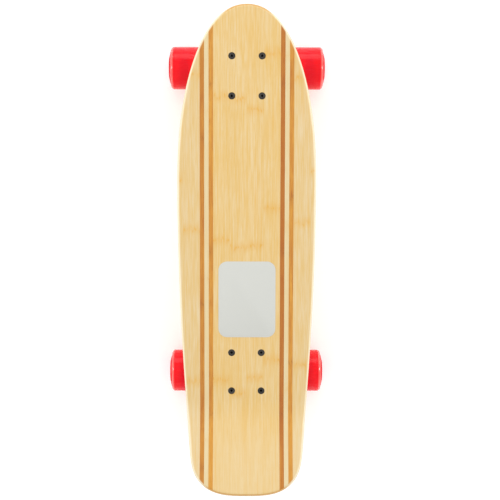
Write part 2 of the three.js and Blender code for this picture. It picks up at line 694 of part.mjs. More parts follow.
function addWheel(truck, label, side) {
  const middle = side * wheelMiddleX;
  const [, y, z] = axleInTruck.toArray();
  add(truck, `${label}_wheel`, wheelGeometry(), redUrethane(), middle, y, z);
  add(truck, `${label}_bearing_inner`, bearingGeometry(), zincSteel(), middle - side * bearingInset, y, z);
  add(truck, `${label}_bearing_outer`, bearingGeometry(), zincSteel(), middle + side * bearingInset, y, z);
  add(truck, `${label}_spacer`, spacerGeometry(), zincSteel(), middle, y, z);
  const nut = add(truck, `${label}_axle_nut`, axleNutGeometry(), zincSteel(), side * axleNutX, y, z);
  nut.rotation.y = side > 0 ? 0 : Math.PI;
}

function addSteeringPieces(truck, name) {
  const steering = new THREE.Group();
  steering.position.copy(kingpinCentre);
  steering.rotation.x = STEERING_ANGLE;
  truck.add(steering);
  add(steering, `${name}_hanger`, hangerGeometry(), castAluminium());
  add(steering, `${name}_pivot_cup`, pivotCupGeometry(), rubber());
  add(steering, `${name}_kingpin`, kingpinGeometry(), zincSteel());
  add(steering, `${name}_kingpin_nut`, kingpinNutGeometry(), zincSteel());
  add(steering, `${name}_bushing_board`, bushingGeometry(1), bushingUrethane());
  add(steering, `${name}_bushing_road`, bushingGeometry(-1), bushingUrethane());
  add(steering, `${name}_cup_washer_board`, cupWasherGeometry(1), zincSteel());
  add(steering, `${name}_cup_washer_road`, cupWasherGeometry(-1), zincSteel());
}

function addMountingBolts(truck, name) {
  const headTop = RISER_THICKNESS + DECK_THICKNESS - HEAD_CLEARANCE;
  boltPlaces().forEach(([x, y], i) => {
    add(truck, `${name}_bolt_${i + 1}`, boltGeometry(), blackSteel(), x, y, headTop);
    add(truck, `${name}_lock_nut_${i + 1}`, lockNutGeometry(), blackSteel(), x, y, -BASEPLATE_THICKNESS);
  });
}

// A truck is built facing the nose, and the rear one is turned half round.
function addTruck(name, y, turn) {
  const truck = new THREE.Group();
  truck.position.set(0, y, baseplateFaceZ);
  truck.rotation.z = turn;
  board.add(truck);
  add(truck, `${name}_riser`, riserGeometry(), rubber());
  add(truck, `${name}_baseplate`, baseplateGeometry(), castAluminium());
  add(truck, `${name}_axle`, axleGeometry(), zincSteel(), ...axleInTruck.toArray());
  addSteeringPieces(truck, name);
  addMountingBolts(truck, name);
  const rightSide = turn === 0 ? 1 : -1;
  addWheel(truck, `${name}_right`, rightSide);
  addWheel(truck, `${name}_left`, -rightSide);
}

add(board, 'deck', deckGeometry(), bamboo());
addTruck('front', frontTruckY, 0);
addTruck('rear', rearTruckY, Math.PI);

export default board;
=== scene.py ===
# %% [markdown]
# # A bamboo cruiser skateboard
# The board is built around its packed engineering model. That model says where every part is and
# what moves with what, and this lesson gives each part its real shape and finish.
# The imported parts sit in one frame: metres, +Y to the nose, +X to the right, +Z up.

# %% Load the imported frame
import math
from contextlib import contextmanager

import bpy
from mathutils import Matrix, Vector


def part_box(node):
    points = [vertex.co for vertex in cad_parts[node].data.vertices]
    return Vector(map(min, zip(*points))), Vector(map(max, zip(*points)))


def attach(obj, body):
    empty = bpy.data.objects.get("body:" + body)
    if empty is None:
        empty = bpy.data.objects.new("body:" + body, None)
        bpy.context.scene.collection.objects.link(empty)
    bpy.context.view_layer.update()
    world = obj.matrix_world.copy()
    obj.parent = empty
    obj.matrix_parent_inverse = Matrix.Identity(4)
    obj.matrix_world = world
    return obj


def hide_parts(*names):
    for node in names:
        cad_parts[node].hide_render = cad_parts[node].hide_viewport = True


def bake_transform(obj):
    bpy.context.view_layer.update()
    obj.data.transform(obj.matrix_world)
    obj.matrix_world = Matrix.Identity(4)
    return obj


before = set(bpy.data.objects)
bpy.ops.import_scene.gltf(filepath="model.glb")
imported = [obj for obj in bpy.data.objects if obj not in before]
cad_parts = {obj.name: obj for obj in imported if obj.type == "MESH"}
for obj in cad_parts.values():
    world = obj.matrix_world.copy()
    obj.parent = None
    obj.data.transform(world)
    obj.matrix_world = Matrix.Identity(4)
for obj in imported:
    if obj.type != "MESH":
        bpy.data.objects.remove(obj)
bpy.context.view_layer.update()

MM = 0.001

# %% [markdown]
# ## Camera, floor and light
# The board is seen from straight above, a little nearer its nose, so both ends are slightly
# foreshortened and the wheels show past the narrow parts of the deck. A long lens keeps the sides
# nearly parallel. A free-standing camera with a plain place and turn is simplest to read and change.

# %% Camera
scene = bpy.context.scene
bpy.ops.object.camera_add(
    location=(-0.0052, 0.1706, 1.7348),
    rotation=(-0.10309, -0.005826, 0.00243),
)
camera = bpy.context.object
camera.name = "studio_camera"
camera.data.sensor_width = 36
camera.data.lens = 85.25
scene.camera = camera
print("camera height in m:", round(camera.location.z, 3))

# %% [markdown]
# A product table is a pale sweep under diffused lamps. A wide disc does for the table, and its rim
# is extruded up and out in steps, so there is no horizon line behind the board. The sky
# gives even fill from every side. A narrow softbox at each side draws a bright line along the lips
# of the wheels and the metal, and a broad one beyond the nose lifts that end without a hard glint.

# %% Floor and lamps
FLOOR_RADIUS = 18.0
# How far each ring of the sweep rises, in metres, and how much wider it is than the last
SWEEP_RINGS = ((0.3, 1.17), (0.9, 1.12), (1.8, 1.08), (3.0, 1.05), (5.0, 1.03))
bpy.ops.object.select_all(action="DESELECT")
bpy.ops.mesh.primitive_circle_add(vertices=96, radius=FLOOR_RADIUS, fill_type="NGON")
floor = bpy.context.object
floor.name = "studio_floor"
bpy.ops.object.mode_set(mode="EDIT")
bpy.ops.mesh.select_mode(type="EDGE")
bpy.ops.mesh.select_all(action="SELECT")
for rise, growth in SWEEP_RINGS:
    bpy.ops.mesh.extrude_edges_move(TRANSFORM_OT_translate={"value": (0, 0, rise)})
    bpy.ops.transform.resize(value=(growth, growth, 1))
bpy.ops.mesh.select_all(action="SELECT")
bpy.ops.mesh.normals_make_consistent(inside=True)
bpy.ops.object.mode_set(mode="OBJECT")

sky = bpy.data.worlds.new("studio_sky")
sky.use_nodes = True
glow = sky.node_tree.nodes["Background"].inputs
glow["Color"].default_value = (1.0, 1.0, 1.0, 1)
glow["Strength"].default_value = 0.755
scene.world = sky
scene.view_settings.view_transform = "Standard"


def add_lamp(name, place, width, length, power):
    """A softbox that faces the middle of the board, with its length along the board."""
    bpy.ops.object.light_add(type="AREA", location=place)
    lamp = bpy.context.object
    lamp.name = name
    lamp.data.shape = "RECTANGLE"
    lamp.data.size = width
    lamp.data.size_y = length
    lamp.data.energy = power
    lamp.rotation_euler = (-Vector(place)).to_track_quat("-Z", "Y").to_euler()


add_lamp("left_softbox", (-2.0, 0.35, 1.5), 0.45, 1.1, 17)
add_lamp("right_softbox", (2.0, 0.35, 1.5), 0.45, 1.1, 17)
add_lamp("nose_softbox", (0.0, 3.0, 1.3), 2.2, 1.6, 22)

# %% [markdown]
# ## How the pieces are modelled
# Most parts of a truck and a wheel are turned on a lathe, cut from hexagon bar, or sawn from plate.
# The same three ways are used here. A single point is extruded corner by corner to draw a profile,
# which is then spun round an axis or filled and pushed through its thickness. Selections are made
# in code, by place, because there is no hand on a mouse.

# %% Select and edit
def nothing_selected():
    """Leaves nothing selected, so the next operator acts only on what it is given."""
    bpy.ops.object.select_all(action="DESELECT")


def only(piece):
    """Makes one piece the selected and active one."""
    nothing_selected()
    piece.select_set(True)
    bpy.context.view_layer.objects.active = piece


@contextmanager
def editing(piece, kind="VERT", test=None):
    """Opens a piece for editing, with the points, edges or faces that pass the test selected."""
    only(piece)
    bpy.ops.object.mode_set(mode="EDIT")
    bpy.ops.mesh.select_mode(type=kind)
    bpy.ops.mesh.select_all(action="SELECT" if test is None else "DESELECT")
    bpy.ops.object.mode_set(mode="OBJECT")
    if test is not None:
        mesh = piece.data
        for item in {"VERT": mesh.vertices, "EDGE": mesh.edges, "FACE": mesh.polygons}[kind]:
            item.select = test(item)
    bpy.ops.object.mode_set(mode="EDIT")
    yield
    bpy.ops.object.mode_set(mode="OBJECT")


def tidy_shell(piece):
    """Closes seams and poles, and turns every face outwards."""
    with editing(piece):
        bpy.ops.mesh.remove_doubles(threshold=2e-6)
        bpy.ops.mesh.normals_make_consistent(inside=False)


print("edit helpers ready")


# %% Draw a line point by point
def drawn_line(points):
    """A chain of edges through points in millimetres, drawn by extruding one point."""
    corners = [Vector(point) * MM for point in points]
    nothing_selected()
    bpy.ops.mesh.primitive_plane_add(size=MM)
    piece = bpy.context.object
    with editing(piece):
        bpy.ops.mesh.merge(type="CENTER")
        bpy.ops.mesh.select_all(action="SELECT")
        bpy.ops.transform.translate(value=corners[0])
        for here, there in zip(corners, corners[1:]):
            bpy.ops.mesh.extrude_vertices_move(TRANSFORM_OT_translate={"value": there - here})
    return piece


def turned(profile, steps):
    """A lathe-turned piece about Z. The profile lists (height, radius) in millimetres."""
    piece = drawn_line([(radius, 0, height) for height, radius in profile])
    with editing(piece):
        bpy.ops.mesh.spin(steps=steps, angle=2 * math.pi, center=(0, 0, 0), axis=(0, 0, 1))
    tidy_shell(piece)
    return piece


def sawn(outline, push):
    """A plate with the given outline, in millimetres, pushed through its thickness."""
    piece = drawn_line(outline)
    with editing(piece):
        bpy.ops.mesh.edge_face_add()
        bpy.ops.mesh.select_all(action="SELECT")
        bpy.ops.mesh.extrude_region_move(TRANSFORM_OT_translate={"value": Vector(push) * MM})
    tidy_shell(piece)
    return piece


print("lathe and saw ready")


# %% Cut, join, soften and copy
def applied(piece, kind, **settings):
    """Adds a modifier and applies it at once."""
    modifier = piece.modifiers.new(kind.lower(), kind)
    for setting, value in settings.items():
        setattr(modifier, setting, value)
    only(piece)
    bpy.ops.object.modifier_apply(modifier=modifier.name)
    return piece


def discard(*pieces):
    """Throws away patterns and tools that have done their work."""
    for piece in pieces:
        bpy.data.objects.remove(piece)


def cut_by(piece, tool, operation="DIFFERENCE"):
    """Cuts the piece with a tool, which is then thrown away."""
    applied(piece, "BOOLEAN", operation=operation, object=tool, solver="EXACT")
    discard(tool)
    return piece


def joined(pieces):
    """Several pieces as one object, in their places."""
    nothing_selected()
    for piece in pieces:
        piece.select_set(True)
    bpy.context.view_layer.objects.active = pieces[0]
    bpy.ops.object.join()
    return pieces[0]


def softened(piece, width, segments=2):
    """Rounds the sharp edges slightly, as tumbling or handling does."""
    return applied(
        piece,
        "BEVEL",
        width=width * MM,
        segments=segments,
        limit_method="ANGLE",
        angle_limit=math.radians(35),
        harden_normals=False,
    )


def moved(piece, frame_matrix):
    """Puts a piece at its place for good, so its object stays at the origin."""
    piece.matrix_world = frame_matrix
    only(piece)
    bpy.ops.object.transform_apply(location=True, rotation=True, scale=True)
    return piece


def copy_of(pattern, frame_matrix):
    """A copy with its own mesh, at its place."""
    only(pattern)
    bpy.ops.object.duplicate()
    return moved(bpy.context.object, frame_matrix)


print("shop tools ready")

# %% [markdown]
# ## Where each truck stands
# A truck is modelled once and copied, and the rear one is turned half round. Three frames are
# enough. The plate frame starts on the face that meets the riser. The kingpin frame leans 45
# degrees: its Y is the axis the truck steers about, and its Z runs up the kingpin to the board.
# The axle frame has its Z along the axle.

# %% Truck frames
STEERING_LEAN = math.radians(45)
# Where the kingpin frame starts, seen from the axle and measured along the leaning axes
KINGPIN_FORWARD = 22.0
KINGPIN_ABOVE = 16.0
AXLE_TO_KINGPIN = Vector((0, KINGPIN_FORWARD, KINGPIN_ABOVE)) * MM
UPSIDE_DOWN = Matrix.Rotation(math.pi, 4, "X")
UP_TO_RIGHT = Matrix.Rotation(math.radians(90), 4, "Y")
UP_TO_LEFT = Matrix.Rotation(math.radians(-90), 4, "Y")
UP_TO_PIVOT = Matrix.Rotation(math.radians(90), 4, "X")
lean = Matrix.Rotation(STEERING_LEAN, 4, "X")
kingpin_from_axle = Matrix.Translation(lean @ AXLE_TO_KINGPIN) @ lean


def middle_of(node):
    """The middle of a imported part's box."""
    low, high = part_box(node)
    return (low + high) / 2


def top_of(node):
    """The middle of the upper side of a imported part's box."""
    return Vector((*middle_of(node).xy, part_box(node)[1].z))


TRUCKS = ("front", "rear")
axle_frames = {}
plate_frames = {}
kingpin_frames = {}
for truck, turn in zip(TRUCKS, (0, math.pi)):
    half_round = Matrix.Rotation(turn, 4, "Z")
    axle_frames[truck] = Matrix.Translation(middle_of(truck + "_axle")) @ half_round
    kingpin_frames[truck] = axle_frames[truck] @ kingpin_from_axle
    plate_middle = Vector((0, middle_of(truck + "_riser").y, top_of(truck + "_baseplate").z))
    plate_frames[truck] = Matrix.Translation(plate_middle) @ half_round
    print(truck, "axle at", [round(c / MM, 2) for c in axle_frames[truck].translation])
plate_to_kingpin = plate_frames["front"].inverted() @ kingpin_frames["front"]

# %% [markdown]
# ## Building a finish
# A finish is a small graph of nodes. Noise in object coordinates gives grain, streaks and wear
# without any picture, and it stays put on the part as the part moves. A few helpers keep each
# graph short enough to read: one adds a node and wires it, the others wrap the nodes used most.

# %% Node helpers
def new_finish(name, colour, roughness, metallic=0.0, **shader_settings):
    """A new finish. Numbers that are the same all over are set on the shader itself."""
    finish = bpy.data.materials.new(name)
    finish.use_nodes = True
    shader = finish.node_tree.nodes["Principled BSDF"]
    shader.inputs["Base Color"].default_value = (*colour, 1)
    shader.inputs["Roughness"].default_value = roughness
    shader.inputs["Metallic"].default_value = metallic
    for socket, value in shader_settings.items():
        shader.inputs[socket.replace("_", " ")].default_value = value
    shader.inputs["Emission Color"].default_value = (*colour, 1)
    finish.diffuse_color = (*colour, 1)
    return finish


def add_node(finish, kind, wires=None, **options):
    """Adds a node. A socket that is given another node's output is wired, and a number is set."""
    made = finish.node_tree.nodes.new("ShaderNode" + kind)
    for option, value in options.items():
        setattr(made, option, value)
    for socket, value in (wires or {}).items():
        if isinstance(value, bpy.types.NodeSocket):
            finish.node_tree.links.new(value, made.inputs[socket])
        else:
            made.inputs[socket].default_value = value
    return made


def to_shader(finish, socket, output):
    """Wires an output to the shader."""
    shader = finish.node_tree.nodes["Principled BSDF"]
    finish.node_tree.links.new(output, shader.inputs[socket])


def object_place(finish):
    """Where on the object a point is, in metres."""
    return add_node(finish, "TexCoord").outputs["Object"]


def kept_on_mesh(finish, name):
    """A value that the mesh carries under a name, whole and as its three parts."""
    whole = add_node(finish, "Attribute", attribute_name=name).outputs["Vector"]
    return whole, add_node(finish, "SeparateXYZ", {0: whole}).outputs


def stretched(finish, place, scale):
    """The place, scaled differently along each axis."""
    return add_node(finish, "VectorMath", {0: place, 1: scale}, operation="MULTIPLY").outputs[0]


def noise(finish, place, scale, detail, roughness=0.5):
    """Soft noise from 0 to 1."""
    wires = {"Vector": place, "Scale": scale, "Detail": detail, "Roughness": roughness}
    return add_node(finish, "TexNoise", wires).outputs["Fac"]


def maths(finish, operation, first, second=0.0):
    """One sum on one or two values."""
    return add_node(finish, "Math", {0: first, 1: second}, operation=operation).outputs[0]


def weighed(finish, *shares):
    """The sum of some values, each given with its weight."""
    parts = [maths(finish, "MULTIPLY", value, weight) for value, weight in shares]
    total = parts[0]
    for part in parts[1:]:
        total = maths(finish, "ADD", total, part)
    return total


def faded(finish, value, low, high, start=0.0, end=1.0):
    """The value as it goes from low to high, eased and kept between start and end."""
    wires = {"Value": value, "From Min": low, "From Max": high, "To Min": start, "To Max": end}
    return add_node(finish, "MapRange", wires, interpolation_type="SMOOTHSTEP").outputs["Result"]


def mixed(finish, share, first, second):
    """Two colours mixed by a share."""
    colours = [c if isinstance(c, bpy.types.NodeSocket) else (*c, 1) for c in (first, second)]
    wires = {0: share, 6: colours[0], 7: colours[1]}
    return add_node(finish, "Mix", wires, data_type="RGBA").outputs[2]


def bumped(finish, height, distance, strength):
    """Wires a height to the shader as relief too fine to model, with its depth in millimetres."""
    wires = {"Height": height, "Distance": distance * MM, "Strength": strength}
    to_shader(finish, "Normal", add_node(finish, "Bump", wires).outputs["Normal"])


print("node helpers ready")


# %% Hand a piece over
def finished(piece, name, finishes, angle=35):
    """Names a piece, gives it its finishes and smooths it across its gentle edges."""
    piece.name = name
    piece.data.name = name
    piece.data.materials.clear()
    for finish in finishes:
        piece.data.materials.append(finish)
    only(piece)
    bpy.ops.object.shade_smooth_by_angle(angle=math.radians(angle))
    size = [round(side / MM, 1) for side in piece.dimensions]
    print(f"{name}: {size} mm, {len(piece.data.polygons)} faces")
    return piece


def mounted(piece, body, *nodes):
    """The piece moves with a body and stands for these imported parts."""
    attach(piece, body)
    if nodes:
        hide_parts(*nodes)


def fitted(pattern, place, name, slot, finishes, body, *nodes, kinds=None, angle=35):
    """A copy of a pattern, finished and mounted. The kinds say which finish each face has."""
    piece = finished(copy_of(pattern, place), name, finishes, angle)
    if kinds:
        piece.data.polygons.foreach_set("material_index", kinds)
    mounted(piece, body, *nodes)


def fitted_to_trucks(pattern, frames, name, slot, finishes, body, node, turn=Matrix(), **choices):
    """A copy of a pattern on each truck, and then the pattern is thrown away.

    In the name of the body, {truck} stands for front or rear.
    """
    for truck, place in frames.items():
        own_name, own_node, own_body = f"{truck}_{name}", f"{truck}_{node}", body.format(truck=truck)
        fitted(pattern, place @ turn, own_name, slot, finishes, own_body, own_node, **choices)
    discard(pattern)


print("fitting helpers ready")

# %% [markdown]
# ## Floor finish
# The sweep is matt white paper board. A trace of mottling keeps it from looking like an empty
# background. It glows very slightly, as a backlit light table does, so the shadow stays soft.

# %% Paper sweep
paper = new_finish("white_paper", (0.93, 0.93, 0.93), 0.9, Emission_Strength=0.24)
paper_mottle = noise(paper, object_place(paper), 9.0, 3.0)
to_shader(paper, "Base Color", mixed(paper, paper_mottle, (0.93, 0.93, 0.925), (0.95, 0.95, 0.95)))
floor.data.materials.append(paper)
print("floor finish ready")

# %% [markdown]
# ## Bamboo
# The deck's face is made of bamboo strips glued side by side. Each strip is one slat wide, shows
# fine long fibres, and has a growth node about every twenty centimetres: a faint orange zigzag.
# Neighbouring slats come from different culms, so their nodes don't line up and their tones differ.
# Where the router has rounded the rim, the nose and the tail show warm end grain, and along the
# long sides the rounded rail is painted pale: a painted highlight.
#
# The pattern has to follow the wood up the bent tail. So the flat blank's own coordinates are
# kept on the mesh as an attribute before the tail is bent, and each face carries two more
# attributes with its slat's middle line, its tone and the place of one node.

# %% Bamboo finish
DECK_THICKNESS = 11.0
# Pale colour painted along the sides' rounded rail: a painted highlight
RAIL_HIGHLIGHT = (0.87, 0.79, 0.58)
END_GRAIN = (0.61, 0.30, 0.05)


def depth_in_blank(finish, height):
    """How far below the nearer face of the flat blank a point is, in metres."""
    depth = maths(finish, "MULTIPLY", height, -1.0)
    return maths(finish, "MINIMUM", depth, maths(finish, "SUBTRACT", DECK_THICKNESS * MM, depth))


def bamboo_finish(name, tones, slat_width, streak_strength, mark_strength):
    """A varnished bamboo face. The tones are light, dark, the nodes' colour and the streaks'."""
    light, dark, mark, warm = tones
    wood = new_finish(
        name, light, 0.42, Coat_Weight=0.22, Coat_Roughness=0.22, Specular_IOR_Level=0.35
    )
    place, (across, along, height) = kept_on_mesh(wood, "blank_place")
    slat_middle, slat_tone, endways = kept_on_mesh(wood, "slat")[1]
    growth, (node_place, node_spacing, _) = kept_on_mesh(wood, "growth")
    own_place = add_node(wood, "VectorMath", {0: place, 1: growth}, operation="ADD").outputs[0]

    def fibres(scale, detail=1.0, roughness=0.5):
        """Noise drawn out along the slat, different from one slat to the next."""
        return noise(wood, stretched(wood, own_place, scale), 1.0, detail, roughness)

    # Fibres: fine lines, bundles of them, broad soft bands, short dark pores and warm strays.
    # The lines grow fainter along the bent tail, which paints it paler: a painted brightening where the
    # tail tilts up into the light.
    fine = fibres((1700, 40, 300), 3.0, 0.6)
    bundles = fibres((560, 20, 100), 2.0, 0.6)
    broad = fibres((150, 10, 60), 2.0)
    streak = weighed(wood, (fine, 0.3), (bundles, 0.45), (broad, 0.25))
    share = faded(wood, streak, 0.38, 0.62, 0.0, streak_strength)
    painted_tail_light = faded(wood, along, -0.29, -0.21, 0.45, 1.0)
    colour = mixed(wood, maths(wood, "MULTIPLY", share, painted_tail_light), light, dark)
    cloud = fibres((34, 12, 20), 2.0)
    colour = mixed(wood, faded(wood, cloud, 0.4, 0.7, 0.0, 0.25), colour, dark)
    colour = mixed(wood, maths(wood, "MULTIPLY", slat_tone, 0.5), colour, dark)
    pores = fibres((2900, 60, 300))
    colour = mixed(wood, faded(wood, pores, 0.56, 0.7, 0.0, 0.5), colour, dark)
    strays = fibres((430, 6, 0))
    colour = mixed(wood, faded(wood, strays, 0.6, 0.74, 0.0, 0.45), colour, warm)

    # Growth nodes: a zigzag line of short ticks in a soft halo
    zigzag = fibres((330, 40, 0))
    swing = maths(wood, "MULTIPLY", maths(wood, "SUBTRACT", zigzag, 0.5), 0.085)
    from_node = maths(wood, "SUBTRACT", along, node_place)
    turns = maths(wood, "ADD", maths(wood, "DIVIDE", from_node, node_spacing), swing)
    past_node = maths(wood, "FRACT", maths(wood, "ADD", turns, 0.5))
    nearest = maths(wood, "ABSOLUTE", maths(wood, "SUBTRACT", past_node, 0.5))
    line = faded(wood, nearest, 0.003, 0.019, 0.8, 0.0)
    halo = faded(wood, nearest, 0.0, 0.06, 0.32, 0.0)
    ticks = fibres((620, 60, 0), 2.0)
    broken_line = maths(wood, "MULTIPLY", line, faded(wood, ticks, 0.42, 0.60))
    marked = maths(wood, "MULTIPLY", maths(wood, "MAXIMUM", broken_line, halo), mark_strength)
    colour = mixed(wood, marked, colour, mark)

    # Glue line beside the next slat, and the rounded rim: warm end grain at the ends, and a painted
    # highlight along the sides
    from_middle = maths(wood, "ABSOLUTE", maths(wood, "SUBTRACT", across, slat_middle))
    seam = faded(wood, from_middle, slat_width / 2 - 0.0006, slat_width / 2, 0.0, 0.4)
    colour = mixed(wood, seam, colour, dark)
    depth = depth_in_blank(wood, height)
    end_share = faded(wood, endways, 0.45, 0.8)
    side_share = maths(wood, "SUBTRACT", 1.0, end_share)
    # The pale band along the sides' rounded rail is a painted highlight.
    side_rail_highlight = maths(wood, "MULTIPLY", side_share, faded(wood, depth, 0.00008, 0.0014, 0.0, 0.85))
    end_rim = maths(wood, "MULTIPLY", end_share, faded(wood, depth, 0.0004, 0.0011, 0.0, 0.95))
    colour = mixed(wood, side_rail_highlight, colour, RAIL_HIGHLIGHT)
    colour = mixed(wood, end_rim, colour, END_GRAIN)
    to_shader(wood, "Base Color", colour)
    to_shader(wood, "Roughness", faded(wood, fine, 0.3, 0.7, 0.36, 0.5))
    bumped(wood, fine, 0.05, 0.35)
    return wood


SLAT_WIDTH = 23.4 * MM
STRIP_WIDTH = 6.1 * MM
# The inlaid strips show no glue line of their own, so they count as slats a metre wide
NO_SEAM = 1.0
NATURAL_TONES = ((0.745, 0.570, 0.305), (0.705, 0.450, 0.130), (0.70, 0.37, 0.05), (0.72, 0.41, 0.08))
SIDE_TONES = ((0.730, 0.574, 0.335), (0.690, 0.460, 0.160), (0.70, 0.38, 0.06), (0.71, 0.42, 0.10))
CARAMEL_TONES = ((0.67, 0.322, 0.045), (0.35, 0.077, 0.009), (0.24, 0.07, 0.015), (0.66, 0.30, 0.04))
PALE_TONES = ((0.72, 0.61, 0.375), (0.70, 0.52, 0.25), (0.68, 0.42, 0.13), (0.70, 0.50, 0.20))
natural_bamboo = bamboo_finish("natural_bamboo", NATURAL_TONES, SLAT_WIDTH, 0.9, 1.0)
side_bamboo = bamboo_finish("side_bamboo", SIDE_TONES, SLAT_WIDTH, 0.9, 1.0)
caramel_bamboo = bamboo_finish("caramel_bamboo", CARAMEL_TONES, NO_SEAM, 0.45, 0.5)
pale_bamboo = bamboo_finish("pale_bamboo", PALE_TONES, NO_SEAM, 0.7, 0.5)
print("bamboo finishes ready")

# %% [markdown]
# The rail shows how the deck is laid up: vertical-grain face sheets over crossed inner plies. On
# the long sides the plies read as thin lines. At the nose and the tail the saw has gone across the
# fibres, and the end grain takes more varnish, so it is a warmer brown. The depth kept on the
# blank says which ply a point is in, and the slat attribute says which grain the face shows.

# %% Ply edge finish
PLY_THICKNESS = 2.2 * MM
plies = new_finish("bamboo_plies", (0.86, 0.72, 0.46), 0.5, Coat_Weight=0.25, Coat_Roughness=0.3)
ply_place, (_, _, ply_height) = kept_on_mesh(plies, "blank_place")
ply_count = maths(plies, "DIVIDE", ply_height, PLY_THICKNESS)
glue_line = faded(plies, maths(plies, "PINGPONG", ply_count, 0.5), 0.0, 0.07, 0.75, 0.0)
ply_turn = maths(plies, "PINGPONG", maths(plies, "ADD", ply_count, 0.5), 1.0)
ply_fibre = noise(plies, stretched(plies, ply_place, (160, 160, 2600)), 1.0, 3.0, 0.6)
ply_pores = noise(plies, ply_place, 1500.0, 2.0)
long_grain = mixed(plies, ply_fibre, (0.93, 0.82, 0.56), (0.78, 0.60, 0.33))
end_grain = mixed(plies, faded(plies, ply_pores, 0.4, 0.6), (0.80, 0.60, 0.33), (0.58, 0.38, 0.17))
ply_colour = mixed(plies, faded(plies, ply_turn, 0.45, 0.55), long_grain, end_grain)
ply_end = faded(plies, kept_on_mesh(plies, "slat")[1][2], 0.45, 0.8, 0.0, 0.8)
ply_side = maths(plies, "SUBTRACT", 1.0, ply_end)
ply_colour = mixed(plies, ply_end, ply_colour, END_GRAIN)
ply_colour = mixed(plies, glue_line, ply_colour, (0.38, 0.22, 0.09))
ply_depth = depth_in_blank(plies, ply_height)
# Where the sides' rail rounds over, the plies are painted pale: a painted highlight.
rounded_ply_highlight = maths(plies, "MULTIPLY", ply_side, faded(plies, ply_depth, 0.0020, 0.0038, 0.7, 0.0))
ply_colour = mixed(plies, rounded_ply_highlight, ply_colour, RAIL_HIGHLIGHT)
to_shader(plies, "Base Color", ply_colour)
bumped(plies, ply_fibre, 0.06, 0.5)
print("ply edge finish ready")

# %% [markdown]
# ## The deck
# The real deck is pressed flat, sawn to its outline, bent up at the tail in a heated mould, and
# its rails are rounded with a router. The same order works here. The outline is drawn point by
# point and pushed through its thickness, and its two rims are bevelled. Bisect cuts mark the
# inlaid strips, the slats and the lines that the tail bends along.

# %% Outline of the blank
deck_low, deck_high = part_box("deck")
HALF_WIDTH = deck_high.x / MM
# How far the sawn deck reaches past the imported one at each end
PAST_NOSE = 1.2
PAST_TAIL = 0.6
NOSE_TIP = deck_high.y / MM + PAST_NOSE
TAIL_TIP = deck_low.y / MM - PAST_TAIL
NOSE_LENGTH = 240.0
NOSE_POWER = 2.15
TAIL_HALF_WIDTH = 73.0
TAIL_LENGTH = 61.0
TAIL_POWER = 3.0
KICK_START = -207.5
KICK_ANGLE = math.radians(18)
KICK_RADIUS = 110.0 + DECK_THICKNESS / 2
KICK_STRIPS = 18

widest = NOSE_TIP - NOSE_LENGTH
tail_start = TAIL_TIP + TAIL_LENGTH


def side_at(y):
    """Half the width of the long, slowly narrowing side."""
    return HALF_WIDTH - (HALF_WIDTH - TAIL_HALF_WIDTH) * ((widest - y) / (widest - TAIL_TIP)) ** 2


def unbent(y):
    """Where a point of the finished plan view lies along the flat blank."""
    reach = KICK_START - y
    bent_reach = KICK_RADIUS * math.sin(KICK_ANGLE)
    if reach <= 0:
        return y
    if reach < bent_reach:
        return KICK_START - KICK_RADIUS * math.asin(reach / KICK_RADIUS)
    return KICK_START - KICK_RADIUS * KICK_ANGLE - (reach - bent_reach) / math.cos(KICK_ANGLE)


right_rim = []
for step in range(48):
    turn = math.radians(90 * (1 - step / 48))
    y = widest + NOSE_LENGTH * math.sin(turn) ** (2 / NOSE_POWER)
    right_rim.append((HALF_WIDTH * max(math.cos(turn), 0) ** (2 / NOSE_POWER), y))
for step in range(40):
    y = widest + (tail_start - widest) * step / 40
    right_rim.append((side_at(y), y))
for step in range(29):
    turn = math.radians(90 * step / 28)
    y = tail_start - TAIL_LENGTH * math.sin(turn) ** (2 / TAIL_POWER)
    right_rim.append((side_at(y) * max(math.cos(turn), 0) ** (2 / TAIL_POWER), y))
left_rim = [(-x, y) for x, y in reversed(right_rim[1:-1])]
blank_outline = [(x, unbent(y), 0) for x, y in right_rim + left_rim]
print("points on the outline:", len(blank_outline))

# %% Saw the blank and round its rails
RAIL_RADIUS_TOP = 4.8
RAIL_RADIUS_BELOW = 3.4
deck = sawn(blank_outline, (0, 0, -DECK_THICKNESS))
for height, radius in ((0, RAIL_RADIUS_TOP), (-DECK_THICKNESS, RAIL_RADIUS_BELOW)):
    points = deck.data.vertices
    rim_height = height * MM
    with editing(
        deck, "EDGE", lambda edge: all(abs(points[i].co.z - rim_height) < 1e-6 for i in edge.vertices)
    ):
        bpy.ops.mesh.bevel(offset=radius * MM, segments=6, affect="EDGES", clamp_overlap=False)
print("blank faces after rounding:", len(deck.data.polygons))

# %% [markdown]
# Bisect lays a cutting plane through the whole blank without removing anything. The planes across
# X fall on the glue lines between slats and strips. The planes across Y divide the bend into
# narrow strips, one degree each.

# %% Mark slats, strips and the bend
FIRST_STRIP = 46.2
STRIP_EDGES = [FIRST_STRIP + STRIP_WIDTH / MM * i for i in range(4)]
SLAT_SEAMS = [0, SLAT_WIDTH / MM, STRIP_EDGES[-1] + SLAT_WIDTH / MM]
glue_lines = sorted({side * x for x in STRIP_EDGES + SLAT_SEAMS for side in (-1, 1)})
strip_length = KICK_RADIUS * KICK_ANGLE / KICK_STRIPS
bend_lines = [KICK_START - strip_length * i for i in range(KICK_STRIPS + 1)]
with editing(deck):
    for x in glue_lines:
        bpy.ops.mesh.select_all(action="SELECT")
        bpy.ops.mesh.bisect(plane_co=(x * MM, 0, 0), plane_no=(1, 0, 0))
    for y in bend_lines:
        bpy.ops.mesh.select_all(action="SELECT")
        bpy.ops.mesh.bisect(plane_co=(0, y * MM, 0), plane_no=(0, 1, 0))
tidy_shell(deck)
print("glue lines:", len(glue_lines), "bend lines:", len(bend_lines))

# %% [markdown]
# Eight countersunk holes take the bolts. One stepped drill is turned, and copies of it cut them.

